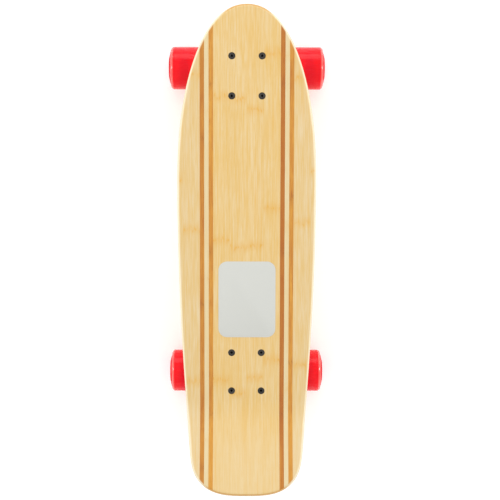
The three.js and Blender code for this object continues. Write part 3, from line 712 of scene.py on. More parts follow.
# %% Drill the bolt holes
PAD_THICKNESS = 3.0
BOLT_NUMBERS = range(1, 5)
bolt_places = [middle_of(f"{truck}_bolt_{i}") for truck in TRUCKS for i in BOLT_NUMBERS]
deck_top = plate_frames["front"].translation.z / MM + PAD_THICKNESS + DECK_THICKNESS
SINK_RADIUS = 4.9
HOLE_RADIUS = 2.6
drill = turned([
    (1, 0), (1, SINK_RADIUS + 0.05), (-0.7, SINK_RADIUS), (-3.1, HOLE_RADIUS), (-12, HOLE_RADIUS),
    (-12, 0),
], 40)
drills = [copy_of(drill, Matrix.Translation((place.x, place.y, 0))) for place in bolt_places]
discard(drill)
cut_by(deck, joined(drills))
print("holes drilled:", len(bolt_places), "deck top at", round(deck_top, 2), "mm")

# %% [markdown]
# Before the tail is bent, the blank's own coordinates and each face's slat are written down for
# the finish, with how far the face looks towards the nose or the tail. The places of the nodes
# differ from slat to slat. The inner strip on the right is the darkest and reddest, so its tone
# is the highest.

# %% Keep the flat coordinates and the slats
# The place of one node, and how far apart the nodes are, for each slat from left to right
SLAT_GROWTH = (
    (0.030, 0.213), (0.016, 0.196), (0.005, 0.204), (0.009, 0.186), (0.060, 0.212), (0.040, 0.198),
)
SLAT_TONES = (0.0, 0.14, 0.02, 0.0, 0.10, 0.02)
STRIP_TONES = {-3: 0.46, -1: 0.0, 1: 1.2, 3: 0.0}
blank_place = deck.data.attributes.new("blank_place", "FLOAT_VECTOR", "POINT")
for point, kept in zip(deck.data.vertices, blank_place.data):
    kept.vector = point.co

strip_inner, strip_outer = STRIP_EDGES[0] * MM, STRIP_EDGES[-1] * MM
slat_facts = deck.data.attributes.new("slat", "FLOAT_VECTOR", "FACE")
growth_facts = deck.data.attributes.new("growth", "FLOAT_VECTOR", "FACE")
for face, fact, growth in zip(deck.data.polygons, slat_facts.data, growth_facts.data):
    x = face.center.x
    size = abs(x)
    side = 1 if x > 0 else -1
    if strip_inner < size < strip_outer:
        number = min(2, int((size - strip_inner) / STRIP_WIDTH))
        middle = side * (strip_inner + (number + 0.5) * STRIP_WIDTH)
        tone = STRIP_TONES.get(side * (number + 1), 0.1)
        node, spacing = 0.037 * number * side, 0.23
    elif size < strip_inner:
        number = math.floor(x / SLAT_WIDTH)
        middle = (number + 0.5) * SLAT_WIDTH
        tone = SLAT_TONES[number + 3]
        node, spacing = SLAT_GROWTH[number + 3]
    else:
        number = math.floor((size - strip_outer) / SLAT_WIDTH)
        middle = side * (strip_outer + (number + 0.5) * SLAT_WIDTH)
        outermost = 5 if side > 0 else 0
        tone = SLAT_TONES[outermost]
        node, spacing = SLAT_GROWTH[outermost]
        node += 0.07 * number
    sideways, endways = face.normal.x ** 2, face.normal.y ** 2
    fact.vector = (middle, tone, endways / max(sideways + endways, 1e-9))
    growth.vector = (node, spacing, 0)
print("faces with a slat:", len(slat_facts.data))

# %% [markdown]
# Now the bend. For each line, everything beyond it is turned one degree further about that line,
# which is just what the mould does. The line's own place is followed as the bend builds up.

# %% Bend the tail
one_strip = KICK_ANGLE / KICK_STRIPS
hinge = Vector((0, KICK_START * MM, -DECK_THICKNESS * MM / 2))
for i, line in enumerate(bend_lines[:-1]):
    kept = deck.data.attributes["blank_place"].data
    beyond = {v.index for v in deck.data.vertices if kept[v.index].vector.y < line * MM - 1e-6}
    with editing(deck, "VERT", lambda point: point.index in beyond):
        bpy.ops.transform.rotate(value=one_strip, orient_axis="X", center_override=hinge)
    lean_so_far = one_strip * (i + 1)
    hinge += Vector((0, -math.cos(lean_so_far), math.sin(lean_so_far))) * strip_length * MM
moved(deck, Matrix.Translation((0, 0, deck_top * MM)))
print("tail end height in mm:", round(max(v.co.z for v in deck.data.vertices) / MM, 2))

# %% [markdown]
# The faces now get their finishes. The inlay is only as deep as the face sheet, so it shows on the
# top and just over the rounded rim. Below that the plies show, and the underside is plain bamboo.

# %% Give the deck its finishes
FACE_SHEET = 1.7 * MM
NATURAL, CARAMEL, PALE, PLIES, SIDE = range(5)
kept = deck.data.attributes["blank_place"].data
deck_kinds = []
for face in deck.data.polygons:
    depth = -sum(kept[i].vector.z for i in face.vertices) / len(face.vertices)
    size = abs(face.center.x)
    if FACE_SHEET < depth < DECK_THICKNESS * MM - FACE_SHEET:
        kind = PLIES
    elif depth < FACE_SHEET and strip_inner < size < strip_outer:
        kind = PALE if int((size - strip_inner) / STRIP_WIDTH) == 1 else CARAMEL
    else:
        kind = SIDE if size > strip_outer else NATURAL
    deck_kinds.append(kind)
finished(
    deck, "bamboo_deck", [natural_bamboo, caramel_bamboo, pale_bamboo, plies, side_bamboo]
)
deck.data.polygons.foreach_set("material_index", deck_kinds)
mounted(deck, "board", "deck")
print("faces per finish:", [deck_kinds.count(kind) for kind in (NATURAL, CARAMEL, PALE, PLIES, SIDE)])

# %% [markdown]
# ## The blank panel
# A printed panel sits between the middle of the deck and the rear bolts. Here it is a bare panel
# in one neutral colour: a thin film with rounded corners and a soft rim, lying on the wood.

# %% Panel
CORNER_STEPS = 8


def rounded_rectangle(width, length, radius):
    """The corners of a rounded rectangle round the origin."""
    corners = []
    for quarter, (sx, sy) in enumerate(((1, 1), (-1, 1), (-1, -1), (1, -1))):
        for step in range(CORNER_STEPS + 1):
            turn = math.radians(90 * (quarter + step / CORNER_STEPS))
            x = sx * (width / 2 - radius) + radius * math.cos(turn)
            y = sy * (length / 2 - radius) + radius * math.sin(turn)
            corners.append((x, y, 0))
    return corners


PANEL_MIDDLE = (0.6, -66.6)
FILM_THICKNESS = 0.18
panel = sawn(rounded_rectangle(79, 106, 12), (0, 0, FILM_THICKNESS))
moved(panel, Matrix.Translation(Vector((*PANEL_MIDDLE, deck_top)) * MM))
softened(panel, 0.06)
film = new_finish("panel_film", (0.59, 0.595, 0.55), 0.45, Coat_Weight=0.3, Coat_Roughness=0.25)
film_speck = noise(film, object_place(film), 2600.0, 2.0)
film_cloud = noise(film, object_place(film), 60.0, 3.0)
film_colour = mixed(film, film_speck, (0.57, 0.575, 0.53), (0.61, 0.615, 0.575))
film_cloudy = maths(film, "MULTIPLY", film_cloud, 0.3)
to_shader(film, "Base Color", mixed(film, film_cloudy, film_colour, (0.55, 0.56, 0.53)))
bumped(film, film_speck, 0.02, 0.3)
mounted(finished(panel, "blank_panel", [film]), "board")

# %% [markdown]
# ## Metals
# The hardware has four metal finishes. Zinc plate is bright with faint cloudy patches. Black oxide
# is a thin dark skin with an oily sheen that wears to grey. Bearing steel is ground to a fine
# polish. The castings are raw aluminium: grainy as cast, and bright where a cutter has faced them.

# %% Plated, blackened and polished steel
def steel_finish(name, bright, dull, smooth, rough, grain):
    """Plated or ground steel: cloudy colour, uneven polish and a fine tooling grain."""
    steel = new_finish(name, bright, smooth, 1.0)
    place = object_place(steel)
    cloud = noise(steel, place, 160.0, 4.0, 0.6)
    speck = noise(steel, place, 2400.0, 2.0)
    to_shader(steel, "Base Color", mixed(steel, faded(steel, cloud, 0.35, 0.7), bright, dull))
    worn = weighed(steel, (cloud, 0.7), (speck, 0.3))
    to_shader(steel, "Roughness", faded(steel, worn, 0.3, 0.7, smooth, rough))
    bumped(steel, speck, grain, 0.4)
    return steel


zinc_plate = steel_finish("zinc_plate", (0.74, 0.75, 0.77), (0.58, 0.60, 0.62), 0.2, 0.38, 0.015)
black_oxide = steel_finish("black_oxide", (0.095, 0.088, 0.08), (0.06, 0.057, 0.053), 0.32, 0.5, 0.02)
bearing_steel = steel_finish("bearing_steel", (0.80, 0.81, 0.82), (0.70, 0.71, 0.73), 0.1, 0.2, 0.005)
machined_metal = steel_finish(
    "machined_aluminium", (0.86, 0.87, 0.88), (0.76, 0.77, 0.79), 0.2, 0.3, 0.02
)
print("steel finishes ready")

# %% Raw casting
casting = new_finish("raw_casting", (0.50, 0.51, 0.53), 0.45, 1.0)
casting_place = object_place(casting)
sand_grain = noise(casting, casting_place, 1300.0, 3.0, 0.6)
casting_cloud = noise(casting, casting_place, 70.0, 4.0, 0.6)
casting_pits = faded(casting, noise(casting, casting_place, 420.0, 1.0), 0.24, 0.34)
casting_shade = faded(casting, casting_cloud, 0.3, 0.7)
casting_colour = mixed(casting, casting_shade, (0.53, 0.54, 0.56), (0.38, 0.39, 0.41))
casting_colour = mixed(casting, casting_pits, (0.26, 0.27, 0.29), casting_colour)
to_shader(casting, "Base Color", casting_colour)
to_shader(casting, "Roughness", faded(casting, sand_grain, 0.3, 0.7, 0.38, 0.58))
casting_relief = maths(casting, "ADD", sand_grain, maths(casting, "MULTIPLY", casting_pits, 0.6))
bumped(casting, casting_relief, 0.09, 0.5)
print("casting finish ready")

# %% [markdown]
# ## Rubber, urethane and nylon
# The wheels are cast from clear red urethane. Light goes a few millimetres in and comes out
# again, so they glow at their edges. Over the hub and bearings the tread is painted a deeper red,
# a painted shade where they stop the light. A faint glow of their own stands for the light that
# crosses the whole wheel. The tread has a satin gloss, and the faces are left matt from the mould
# and painted a darker red, a painted shade on the sides. The rolled outer lip is polished and
# draws the brightest line; its paler pink colour is a painted highlight.
# The bushings are the same material in a firmer grade, so they look more solid.
# Riser pads and seals are plain black rubber, and the lock nuts hold a white nylon ring.

# %% Wheel urethane
WHEEL_MIDDLE = 87.8 * MM


def urethane_finish(name, light, deep, core_shade, smooth, rough, **shader_settings):
    """Clear red urethane, painted a deeper red over the core in the middle of the tread: painted shade.
    """
    made = new_finish(name, light, smooth, 0.0, **shader_settings)
    shader = made.node_tree.nodes["Principled BSDF"]
    shader.inputs["Subsurface Radius"].default_value = (1.0, 0.12, 0.1)
    place = object_place(made)
    cloud = noise(made, place, 45.0, 3.0)
    grain = noise(made, place, 1700.0, 2.0)
    scuffs = noise(made, stretched(made, place, (60, 900, 900)), 1.0, 3.0, 0.6)
    colour = mixed(made, faded(made, cloud, 0.35, 0.65), light, deep)
    aside = maths(made, "ABSOLUTE", add_node(made, "SeparateXYZ", {0: place}).outputs[0])
    from_middle = maths(made, "ABSOLUTE", maths(made, "SUBTRACT", aside, WHEEL_MIDDLE))
    # A deeper red over the hub: painted shade where the hub and bearings stop the light.
    painted_core_shade = faded(made, from_middle, 0.002, 0.012, 0.75, 0.0)
    to_shader(made, "Base Color", mixed(made, painted_core_shade, colour, core_shade))
    worn = weighed(made, (grain, 0.5), (scuffs, 0.5))
    to_shader(made, "Roughness", faded(made, worn, 0.35, 0.65, smooth, rough))
    bumped(made, grain, 0.03, 0.4)
    return made


wheel_urethane = urethane_finish(
    "wheel_urethane", (0.90, 0.008, 0.016), (0.82, 0.004, 0.011), (0.70, 0.0015, 0.014), 0.16, 0.3,
    Subsurface_Weight=0.45, Subsurface_Scale=0.006, Coat_Weight=0.2, Coat_Roughness=0.12,
    Specular_IOR_Level=0.12, Emission_Strength=0.12,
)
# The faces are a darker red than the tread: painted shade on the sides of the wheel.
matt_face_painted_shade = urethane_finish(
    "matt_face_urethane_painted_shade", (0.74, 0.001, 0.006), (0.62, 0.0005, 0.004), (0.68, 0.001, 0.006), 0.5, 0.65,
    Subsurface_Weight=0.3, Subsurface_Scale=0.004, Specular_IOR_Level=0.04,
)
# The lip's paler pink colour and faint glow are a painted highlight along the polished lip.
polished_lip_painted_highlight = urethane_finish(
    "polished_lip_urethane_painted_highlight", (0.95, 0.11, 0.09), (0.92, 0.07, 0.06), (0.93, 0.08, 0.07), 0.1, 0.2,
    Subsurface_Weight=0.45, Subsurface_Scale=0.004, Coat_Weight=0.9, Coat_Roughness=0.05,
    Specular_IOR_Level=0.45, Emission_Strength=0.08,
)
print("wheel urethane ready")


# %% Softer and plainer materials
def moulded_finish(name, light, dark, smooth, rough, **shader_settings):
    """A moulded polymer: slightly uneven colour and a matt, pebbled skin."""
    made = new_finish(name, light, smooth, 0.0, **shader_settings)
    place = object_place(made)
    cloud = noise(made, place, 120.0, 3.0)
    skin = noise(made, place, 1900.0, 2.0)
    to_shader(made, "Base Color", mixed(made, faded(made, cloud, 0.3, 0.7), light, dark))
    to_shader(made, "Roughness", faded(made, skin, 0.3, 0.7, smooth, rough))
    bumped(made, skin, 0.03, 0.4)
    return made


bushing_urethane = moulded_finish(
    "bushing_urethane", (0.62, 0.012, 0.02), (0.42, 0.006, 0.012), 0.3, 0.42, Subsurface_Weight=0.3,
    Subsurface_Scale=0.003,
)
black_rubber = moulded_finish("black_rubber", (0.03, 0.03, 0.03), (0.018, 0.018, 0.019), 0.6, 0.85)
white_nylon = moulded_finish("white_nylon", (0.82, 0.83, 0.80), (0.72, 0.73, 0.70), 0.4, 0.55)
print("polymer finishes ready")


# %% [markdown]
# ## Bolts and lock nuts
# Each truck is held by four flat-head bolts with a hexagon socket. The head and the threaded
# shank are turned in one profile, with the thread as fine rings, and a hexagonal punch cuts the
# socket. The nut is hexagon bar whose corners are turned away, with a round collar for its ring.

# %% Threads and nuts
def thread_rings(start, end, radius, pitch):
    """Profile points of a thread between two heights."""
    points = []
    turns = max(1, round(abs(end - start) / pitch))
    stride = (end - start) / turns
    root = radius - pitch * 0.5
    for i in range(turns):
        crest = start + stride * i
        points += [(crest, radius), (crest + stride * 0.2, radius)]
        points += [(crest + stride * 0.5, root), (crest + stride * 0.65, root)]
    return points + [(end, radius)]


def plain_rod(low, high, radius, steps):
    """A round rod along Z."""
    return turned([(low, 0), (low, radius), (high, radius), (high, 0)], steps)


def corner_radius(across_flats):
    """How far the corners of a hexagon are from its middle."""
    return across_flats / 2 / math.cos(math.radians(30))


def hexagon_bar(across_flats, low, high):
    """Hexagon bar along Z, in millimetres."""
    nothing_selected()
    bpy.ops.mesh.primitive_cylinder_add(
        vertices=6,
        radius=corner_radius(across_flats) * MM,
        depth=(high - low) * MM,
        location=(0, 0, (high + low) / 2 * MM),
    )
    return moved(bpy.context.object, bpy.context.object.matrix_world.copy())


def chamfered_hexagon(across_flats, low, high):
    """A nut blank or bolt head: hexagon bar with its corners turned away at both ends."""
    corner = corner_radius(across_flats) + 0.2
    flat = across_flats / 2 * 0.97
    drop = (corner - flat) * math.tan(math.radians(30))
    shaping = turned([
        (low, 0), (low, flat), (low + drop, corner), (high - drop, corner), (high, flat), (high, 0),
    ], 48)
    return cut_by(hexagon_bar(across_flats, low, high), shaping, "INTERSECT")


def kinds_of(piece, kind):
    """The same finish number for each face of a piece."""
    return [kind] * len(piece.data.polygons)


def lock_nut(bore, across_flats, hexagon, collar_height, collar_step=0.5):
    """A lock nut on Z with its bearing face at 0 and its collar above, and its faces' kinds."""
    top = hexagon + collar_height
    collar = across_flats / 2 - collar_step
    body = chamfered_hexagon(across_flats, 0, hexagon)
    hole = turned([(-1, 0), (-1, bore + 1.4), (0.7, bore), (hexagon + 1, bore), (hexagon + 1, 0)], 32)
    cut_by(body, hole)
    ring_inside = bore + 0.9
    shell = turned([
        (hexagon - 0.05, bore), (hexagon - 0.05, collar), (top - 0.7, collar), (top - 0.2, collar - 0.25),
        (top, collar - 0.7), (top, ring_inside), (hexagon, ring_inside), (hexagon, bore),
        (hexagon - 0.05, bore),
    ], 48)
    nylon = turned([
        (hexagon + 0.05, bore - 0.1), (hexagon + 0.05, ring_inside - 0.02),
        (top - 0.25, ring_inside - 0.02), (top - 0.15, ring_inside - 0.3), (top - 0.35, bore - 0.1),
        (hexagon + 0.05, bore - 0.1),
    ], 32)
    kinds = kinds_of(body, 0) + kinds_of(shell, 0) + kinds_of(nylon, 1)
    return joined([body, shell, nylon]), kinds


print("nut makers ready")

# %% Bolts
HEAD_RADIUS = 4.7
SHANK_RADIUS = 2.4
THREAD_PITCH = 0.8
SOCKET_ACROSS = 3.2
bolt = turned([
    (0, 0), (0, HEAD_RADIUS - 0.15), (-0.12, HEAD_RADIUS), (-0.5, HEAD_RADIUS),
    (-2.8, SHANK_RADIUS + 0.05), (-3.1, SHANK_RADIUS),
    *thread_rings(-16.0, -29.4, SHANK_RADIUS, THREAD_PITCH), (-30, SHANK_RADIUS - 0.6), (-30, 0),
], 40)
cut_by(bolt, hexagon_bar(SOCKET_ACROSS, -2.4, 1))
cut_by(bolt, turned([(0.3, 0), (0.3, 2.35), (-0.35, 1.6), (-0.35, 0)], 32))
# The socket's faces are near black: painted shade in the hexagon recess.
socket_painted_shade = steel_finish("socket_painted_shade", (0.012, 0.012, 0.012), (0.02, 0.02, 0.02), 0.5, 0.7, 0.02)
SOCKET_RADIUS = 1.9 * MM
SOCKET_TOP = -0.3 * MM
SOCKET_FLOOR = -2.5 * MM
bolt_kinds = [
    int(face.center.xy.length < SOCKET_RADIUS and SOCKET_FLOOR < face.center.z < SOCKET_TOP)
    for face in bolt.data.polygons
]
nut, nut_kinds = lock_nut(SHANK_RADIUS + 0.05, across_flats=9.5, hexagon=4.0, collar_height=2.0)
for truck in TRUCKS:
    for i in BOLT_NUMBERS:
        node = f"{truck}_bolt_{i}"
        fitted(
            bolt, Matrix.Translation(top_of(node)), f"{truck}_socket_bolt_{i}", "black_steel",
            [black_oxide, socket_painted_shade], "board", node, kinds=bolt_kinds,
        )
        node = f"{truck}_lock_nut_{i}"
        fitted(
            nut, Matrix.Translation(top_of(node)) @ UPSIDE_DOWN, f"{truck}_nylon_nut_{i}",
            "black_steel", [black_oxide, white_nylon], "board", node, kinds=nut_kinds,
        )
discard(bolt, nut)

# %% [markdown]
# ## Riser pads
# A thin rubber pad between the deck and each truck takes up the buzz of the road. It is sawn from
# sheet to the baseplate's outline, with a waist groove moulded round its edge and holes for bolts.

# %% Riser pads
PLATE_WIDTH = 57.0
PLATE_LENGTH = 76.0
PLATE_CORNER = 8.0
PLATE_HOLE_RADIUS = 2.7
GROOVE_WIDTH = 0.8
GROOVE_DEPTH = 0.5
BOLT_OFFSETS = [(x * 20.64, y * 26.99) for x in (1, -1) for y in (1, -1)]


def plate_sawn(larger_by, thickness):
    """A plate in the baseplate's outline, larger by so much on each side."""
    outline = rounded_rectangle(
        PLATE_WIDTH + 2 * larger_by, PLATE_LENGTH + 2 * larger_by, PLATE_CORNER + larger_by
    )
    return sawn(outline, (0, 0, thickness))


def bolt_drills(low, high):
    """Four drills at a truck's bolt holes."""
    pattern = plain_rod(low, high, PLATE_HOLE_RADIUS, 24)
    copies = [copy_of(pattern, Matrix.Translation((x * MM, y * MM, 0))) for x, y in BOLT_OFFSETS]
    discard(pattern)
    return joined(copies)


pad = softened(plate_sawn(0, PAD_THICKNESS), 0.5, 3)
waist = moved(plate_sawn(-GROOVE_DEPTH, GROOVE_WIDTH + 2), Matrix.Translation((0, 0, -1 * MM)))
groove = cut_by(plate_sawn(2, GROOVE_WIDTH), waist)
moved(groove, Matrix.Translation((0, 0, (PAD_THICKNESS - GROOVE_WIDTH) / 2 * MM)))
cut_by(pad, groove)
cut_by(pad, bolt_drills(-1, PAD_THICKNESS + 1))
fitted_to_trucks(pad, plate_frames, "riser_pad", "rubber", [black_rubber], "board", "riser")

# %% [markdown]
# ## Castings
# The baseplate and the hanger are sand castings: several simple bodies that flow into each other
# with a fillet at every join. Making each fillet by hand would be slow. Instead the bodies are
# placed through each other, remeshed into one skin, and smoothed, which rounds every corner. Bores
# and faces are cut after that, so they stay crisp, as they do where a real casting is machined.

# %% Melt bodies into a casting
VOXEL = 0.75 * MM
SMOOTHING_ROUNDS = 7


def cast(bodies):
    """Overlapping bodies melted into one skin with filleted corners."""
    skin = joined(bodies)
    applied(skin, "REMESH", mode="VOXEL", voxel_size=VOXEL, use_smooth_shade=True)
    return applied(skin, "SMOOTH", factor=0.5, iterations=SMOOTHING_ROUNDS)


def bored(piece, frame_matrix, radius, low, high):
    """Bores a round hole along a frame's Z."""
    cut_by(piece, moved(plain_rod(low, high, radius, 40), frame_matrix))


print("foundry ready")

# %% [markdown]
# The baseplate has a flat plate for the bolts, a boss that seats the kingpin, and a leg that
# reaches down to the pivot. Both sides of the leg are recessed to save weight.

# %% Baseplate
def leg_point(along_axis, along_kingpin):
    """A corner of the leg, given in the leaning kingpin frame and drawn in the plate frame."""
    return (plate_to_kingpin @ Vector((0, along_axis * MM, along_kingpin * MM))) / MM


KINGPIN_RADIUS = 4.75
LEG_HALF_WIDTH = 14.0
SEAT = 18.4
TOWER_RADIUS = 10.7
PIVOT_FACE = -33.0
TOWER_END = -48.6
POCKET_DEPTH = 3.8
PLATE_THICKNESS = 6.0
HEAD_WELL_RADIUS = 8.85
CUP_SEAT_RADIUS = 7.7
CUP_SEAT_END = 44.6
SKIM = 0.2
leg_outline = [
    Vector((0, 22, -3)), leg_point(14, SEAT), leg_point(-14, SEAT), leg_point(-16, SEAT - 4),
    leg_point(PIVOT_FACE, TOWER_RADIUS + 1.5), leg_point(PIVOT_FACE, -TOWER_RADIUS),
    leg_point(TOWER_END + 4, -TOWER_RADIUS), leg_point(TOWER_END, -TOWER_RADIUS + 4),
    leg_point(TOWER_END, TOWER_RADIUS / 2), Vector((0, -34, -3)),
]
left_side = Vector((-LEG_HALF_WIDTH, 0, 0))
leg = sawn([point + left_side for point in leg_outline], (2 * LEG_HALF_WIDTH, 0, 0))
pocket_outline = [
    leg_point(TOWER_END + 5.5, TOWER_RADIUS + 5.5), leg_point(PIVOT_FACE + 5.5, TOWER_RADIUS + 5.5),
    leg_point(-14, SEAT + 5.5), leg_point(-14, SEAT + 16.5), Vector((0, -28.5, -11.5)),
]
for side in (-1, 1):
    beside = Vector((side * (LEG_HALF_WIDTH + 2), 0, 0))
    inwards = (-side * (POCKET_DEPTH + 2), 0, 0)
    cut_by(leg, sawn([point + beside for point in pocket_outline], inwards))
baseplate = cast([leg, plate_sawn(0, -PLATE_THICKNESS)])
with editing(baseplate):
    bpy.ops.mesh.bisect(
        plane_co=(0, 0, -SKIM * MM), plane_no=(0, 0, 1), use_fill=True, clear_outer=True
    )
moved(baseplate, Matrix.Translation((0, 0, SKIM * MM)))
bored(baseplate, plate_to_kingpin, KINGPIN_RADIUS + 0.2, 0, 60)
bored(baseplate, plate_to_kingpin, HEAD_WELL_RADIUS, SEAT + 11, 90)
bored(baseplate, plate_to_kingpin @ UP_TO_PIVOT, CUP_SEAT_RADIUS, 0, CUP_SEAT_END)
cut_by(baseplate, bolt_drills(-80, 2))
fitted_to_trucks(
    baseplate, plate_frames, "cast_baseplate", "cast_aluminium", [casting], "board", "baseplate",
    angle=50,
)

# %% [markdown]
# The hanger carries the axle. A tapered bar holds it, a flat yoke rides between the bushings, a
# triangular web joins them, and a round nose turns in the pivot cup. Shallow pockets lighten both
# faces of the web. The bar's ends, the yoke's recesses and the bores are machined.

# %% Hanger
AXLE_IN_KINGPIN = Matrix.Translation((0, -KINGPIN_FORWARD * MM, -KINGPIN_ABOVE * MM))
HANGER_END = 74.8
YOKE_RADIUS = 16.8
YOKE_HALF = 4.5
YOKE_BORE = 7.3
AXLE_BORE = 4.15
WASHER_SEAT = 12.6
WASHER_SEAT_FLOOR = 3.0
bar = turned([
    (-HANGER_END - 1, 0), (-HANGER_END - 1, 7.4), (-HANGER_END + 4, 7.4), (-66, 7.9), (-30, 9.5),
    (30, 9.5), (66, 7.9), (HANGER_END - 4, 7.4), (HANGER_END + 1, 7.4), (HANGER_END + 1, 0),
], 48)
moved(bar, AXLE_IN_KINGPIN @ UP_TO_RIGHT)
yoke_outline = [
    (YOKE_RADIUS * math.cos(math.radians(a)), YOKE_RADIUS * math.sin(math.radians(a)), -YOKE_HALF)
    for a in range(0, 181, 6)
]
yoke_outline += [(-19.2, -31.5, -YOKE_HALF), (19.2, -31.5, -YOKE_HALF)]
yoke = sawn(yoke_outline, (0, 0, 2 * YOKE_HALF))
web_outline = [(-40, -13, -16), (40, -13, -16), (15, -13, YOKE_HALF), (-15, -13, YOKE_HALF)]
web = sawn(web_outline, (0, -18, 0))
pocket_corners = ((31, -8.5), (8.5, -8.5), (8.5, 1.0), (19.5, 1.0))
for side in (-1, 1):
    for face_y, depth in ((-12, -6), (-33, 7)):
        cut_by(web, sawn([(side * x, face_y, z) for x, z in pocket_corners], (0, depth, 0)))
nose = moved(turned([(20, 0), (20, 5), (38, 5), (40, 4.4), (41.2, 3.0), (41.6, 0)], 32), UP_TO_PIVOT)
collar = moved(turned([(22, 0), (22, 9.5), (30, 8.6), (32, 6.2), (32, 0)], 32), UP_TO_PIVOT)
hanger = cast([bar, yoke, web, nose, collar])
end_box = turned([(HANGER_END, 0), (HANGER_END, 20), (HANGER_END + 5, 20), (HANGER_END + 5, 0)], 24)
for turn in (UP_TO_RIGHT, UP_TO_LEFT):
    cut_by(hanger, copy_of(end_box, AXLE_IN_KINGPIN @ turn))
discard(end_box)
bored(hanger, AXLE_IN_KINGPIN @ UP_TO_RIGHT, AXLE_BORE, -80, 80)
bored(hanger, Matrix(), YOKE_BORE, -12, 12)
bored(hanger, Matrix(), WASHER_SEAT, WASHER_SEAT_FLOOR, 12)
bored(hanger, Matrix(), WASHER_SEAT, -12, -WASHER_SEAT_FLOOR)


def is_faced(place):
    """Whether a place on the hanger has been machined: a bar end, or a recess in the yoke."""
    in_yoke = place.xy.length < (WASHER_SEAT + 0.05) * MM and abs(place.z) < (YOKE_HALF + 0.3) * MM
    return in_yoke or abs(place.x) > (HANGER_END - 0.05) * MM


hanger_kinds = [int(is_faced(face.center)) for face in hanger.data.polygons]
fitted_to_trucks(
    hanger, kingpin_frames, "cast_hanger", "cast_aluminium", [casting, machined_metal],
    "{truck}_truck", "hanger", kinds=hanger_kinds, angle=50,
)

# %% [markdown]
# ## Kingpin, bushings and pivot cup
# The kingpin is a bolt whose head hides in the baseplate. Its nut squeezes two urethane bushings
# against the yoke, with a dished washer at the end of each. They let the hanger rock and bring it
# back. A bushing stays put at its washer and follows the hanger at the yoke; here each one is
# placed once in its resting shape. The rubber pivot cup takes the hanger's nose.

# %% Kingpin and its nut
KINGPIN_HEX = 14.3
shank = turned([
    (36, 0), (36, 4.0), (35.7, KINGPIN_RADIUS), (-14, KINGPIN_RADIUS),
    *thread_rings(-15, -28.4, KINGPIN_RADIUS, 1.2), (-29, 4.1), (-29, 0),
], 40)
kingpin = joined([chamfered_hexagon(KINGPIN_HEX, 29.7, 35.7), shank])
nut, nut_kinds = lock_nut(KINGPIN_RADIUS + 0.05, KINGPIN_HEX, 6.0, 2.0, 0.6)
below = Matrix.Translation((0, 0, -SEAT * MM)) @ UPSIDE_DOWN
for truck, place in kingpin_frames.items():
    fitted(
        kingpin, place, f"{truck}_kingpin_bolt", "zinc_steel", [zinc_plate], "board", f"{truck}_kingpin",
    )
    fitted(
        nut, place @ below, f"{truck}_kingpin_lock_nut", "zinc_steel", [zinc_plate, white_nylon],
        "board", f"{truck}_kingpin_nut", kinds=nut_kinds,
    )
discard(kingpin, nut)

# %% Bushings and cup washers
BUSHING_START = 3.3
BUSHING_END = 16.3
bushing = turned([
    (BUSHING_START, 5.6), (BUSHING_START, 11.4), (3.6, 11.9), (4.1, 12.0), (7.6, 12.0), (8.6, 11.8),
    (10.0, 11.25), (11.5, 10.8), (13.2, 10.4), (15.2, 10.2), (16.0, 10.1), (BUSHING_END, 9.7),
    (BUSHING_END, 5.6), (15.9, 5.1), (10, 5.05), (3.7, 5.1), (BUSHING_START, 5.6),
], 56)
washer = turned([
    (16.65, 5.0), (16.6, 5.3), (16.6, 9.9), (16.3, 10.5), (15.6, 10.9), (15.4, 11.2), (15.45, 11.65),
    (15.8, 11.8), (16.6, 11.75), (17.4, 11.5), (17.9, 11.0), (18.1, 10.3), (18.1, 5.3), (18.0, 5.0),
    (16.65, 5.0),
], 56)
for truck in TRUCKS:
    for side, flip in (("board", Matrix()), ("road", UPSIDE_DOWN)):
        kingpin_frame = kingpin_frames[truck] @ flip
        made = copy_of(bushing, kingpin_frame)
        finished(made, f"{truck}_urethane_bushing_{side}", [bushing_urethane])
        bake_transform(made)
        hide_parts(f"{truck}_bushing_{side}")
        fitted(
            washer, kingpin_frame, f"{truck}_dished_washer_{side}", "zinc_steel", [zinc_plate],
            "board", f"{truck}_cup_washer_{side}",
        )
discard(bushing, washer)

# %% Pivot cup
pivot_cup = moved(turned([
    (41.9, 0), (41.9, 3.5), (41.2, 4.8), (40, 5.3), (33.4, 5.3), (32.9, 5.7), (32.6, 6.3), (32.6, 8.2),
    (33.0, 8.6), (33.0, 7.5), (43.6, 7.5), (44.3, 6.8), (44.3, 0),
], 40), UP_TO_PIVOT)
fitted_to_trucks(
    pivot_cup, kingpin_frames, "rubber_pivot_cup", "rubber", [black_rubber], "board", "pivot_cup",
)

# %% [markdown]
# ## Axles
# An eight millimetre steel axle is pressed through the hanger. Its ends are threaded for the nuts.

# %% Axles
def other_half(profile):
    """The mirror image of half a profile, below the middle and in reverse order."""
    return [(-height, radius) for height, radius in reversed(profile)]


AXLE_RADIUS = 4.0
axle_half = [*thread_rings(101.5, 108.4, AXLE_RADIUS, 1.0), (109, AXLE_RADIUS - 0.6), (109, 0)]
axle = turned([*other_half(axle_half), *axle_half], 40)
fitted_to_trucks(
    axle, axle_frames, "threaded_axle", "zinc_steel", [zinc_plate], "{truck}_truck", "axle",
    turn=UP_TO_RIGHT,
)

# %% [markdown]
# ## Wheels
# A wheel is one closed ring. Its tread is flat and its outer lip rolls over into a gently domed
# face, while the lip beside the truck is nearly square. A deep hub recess leads to the seat of
# each bearing, and a fine ring is moulded into each face. The hub is the same on both sides, so
# only the treads and faces are written down twice.

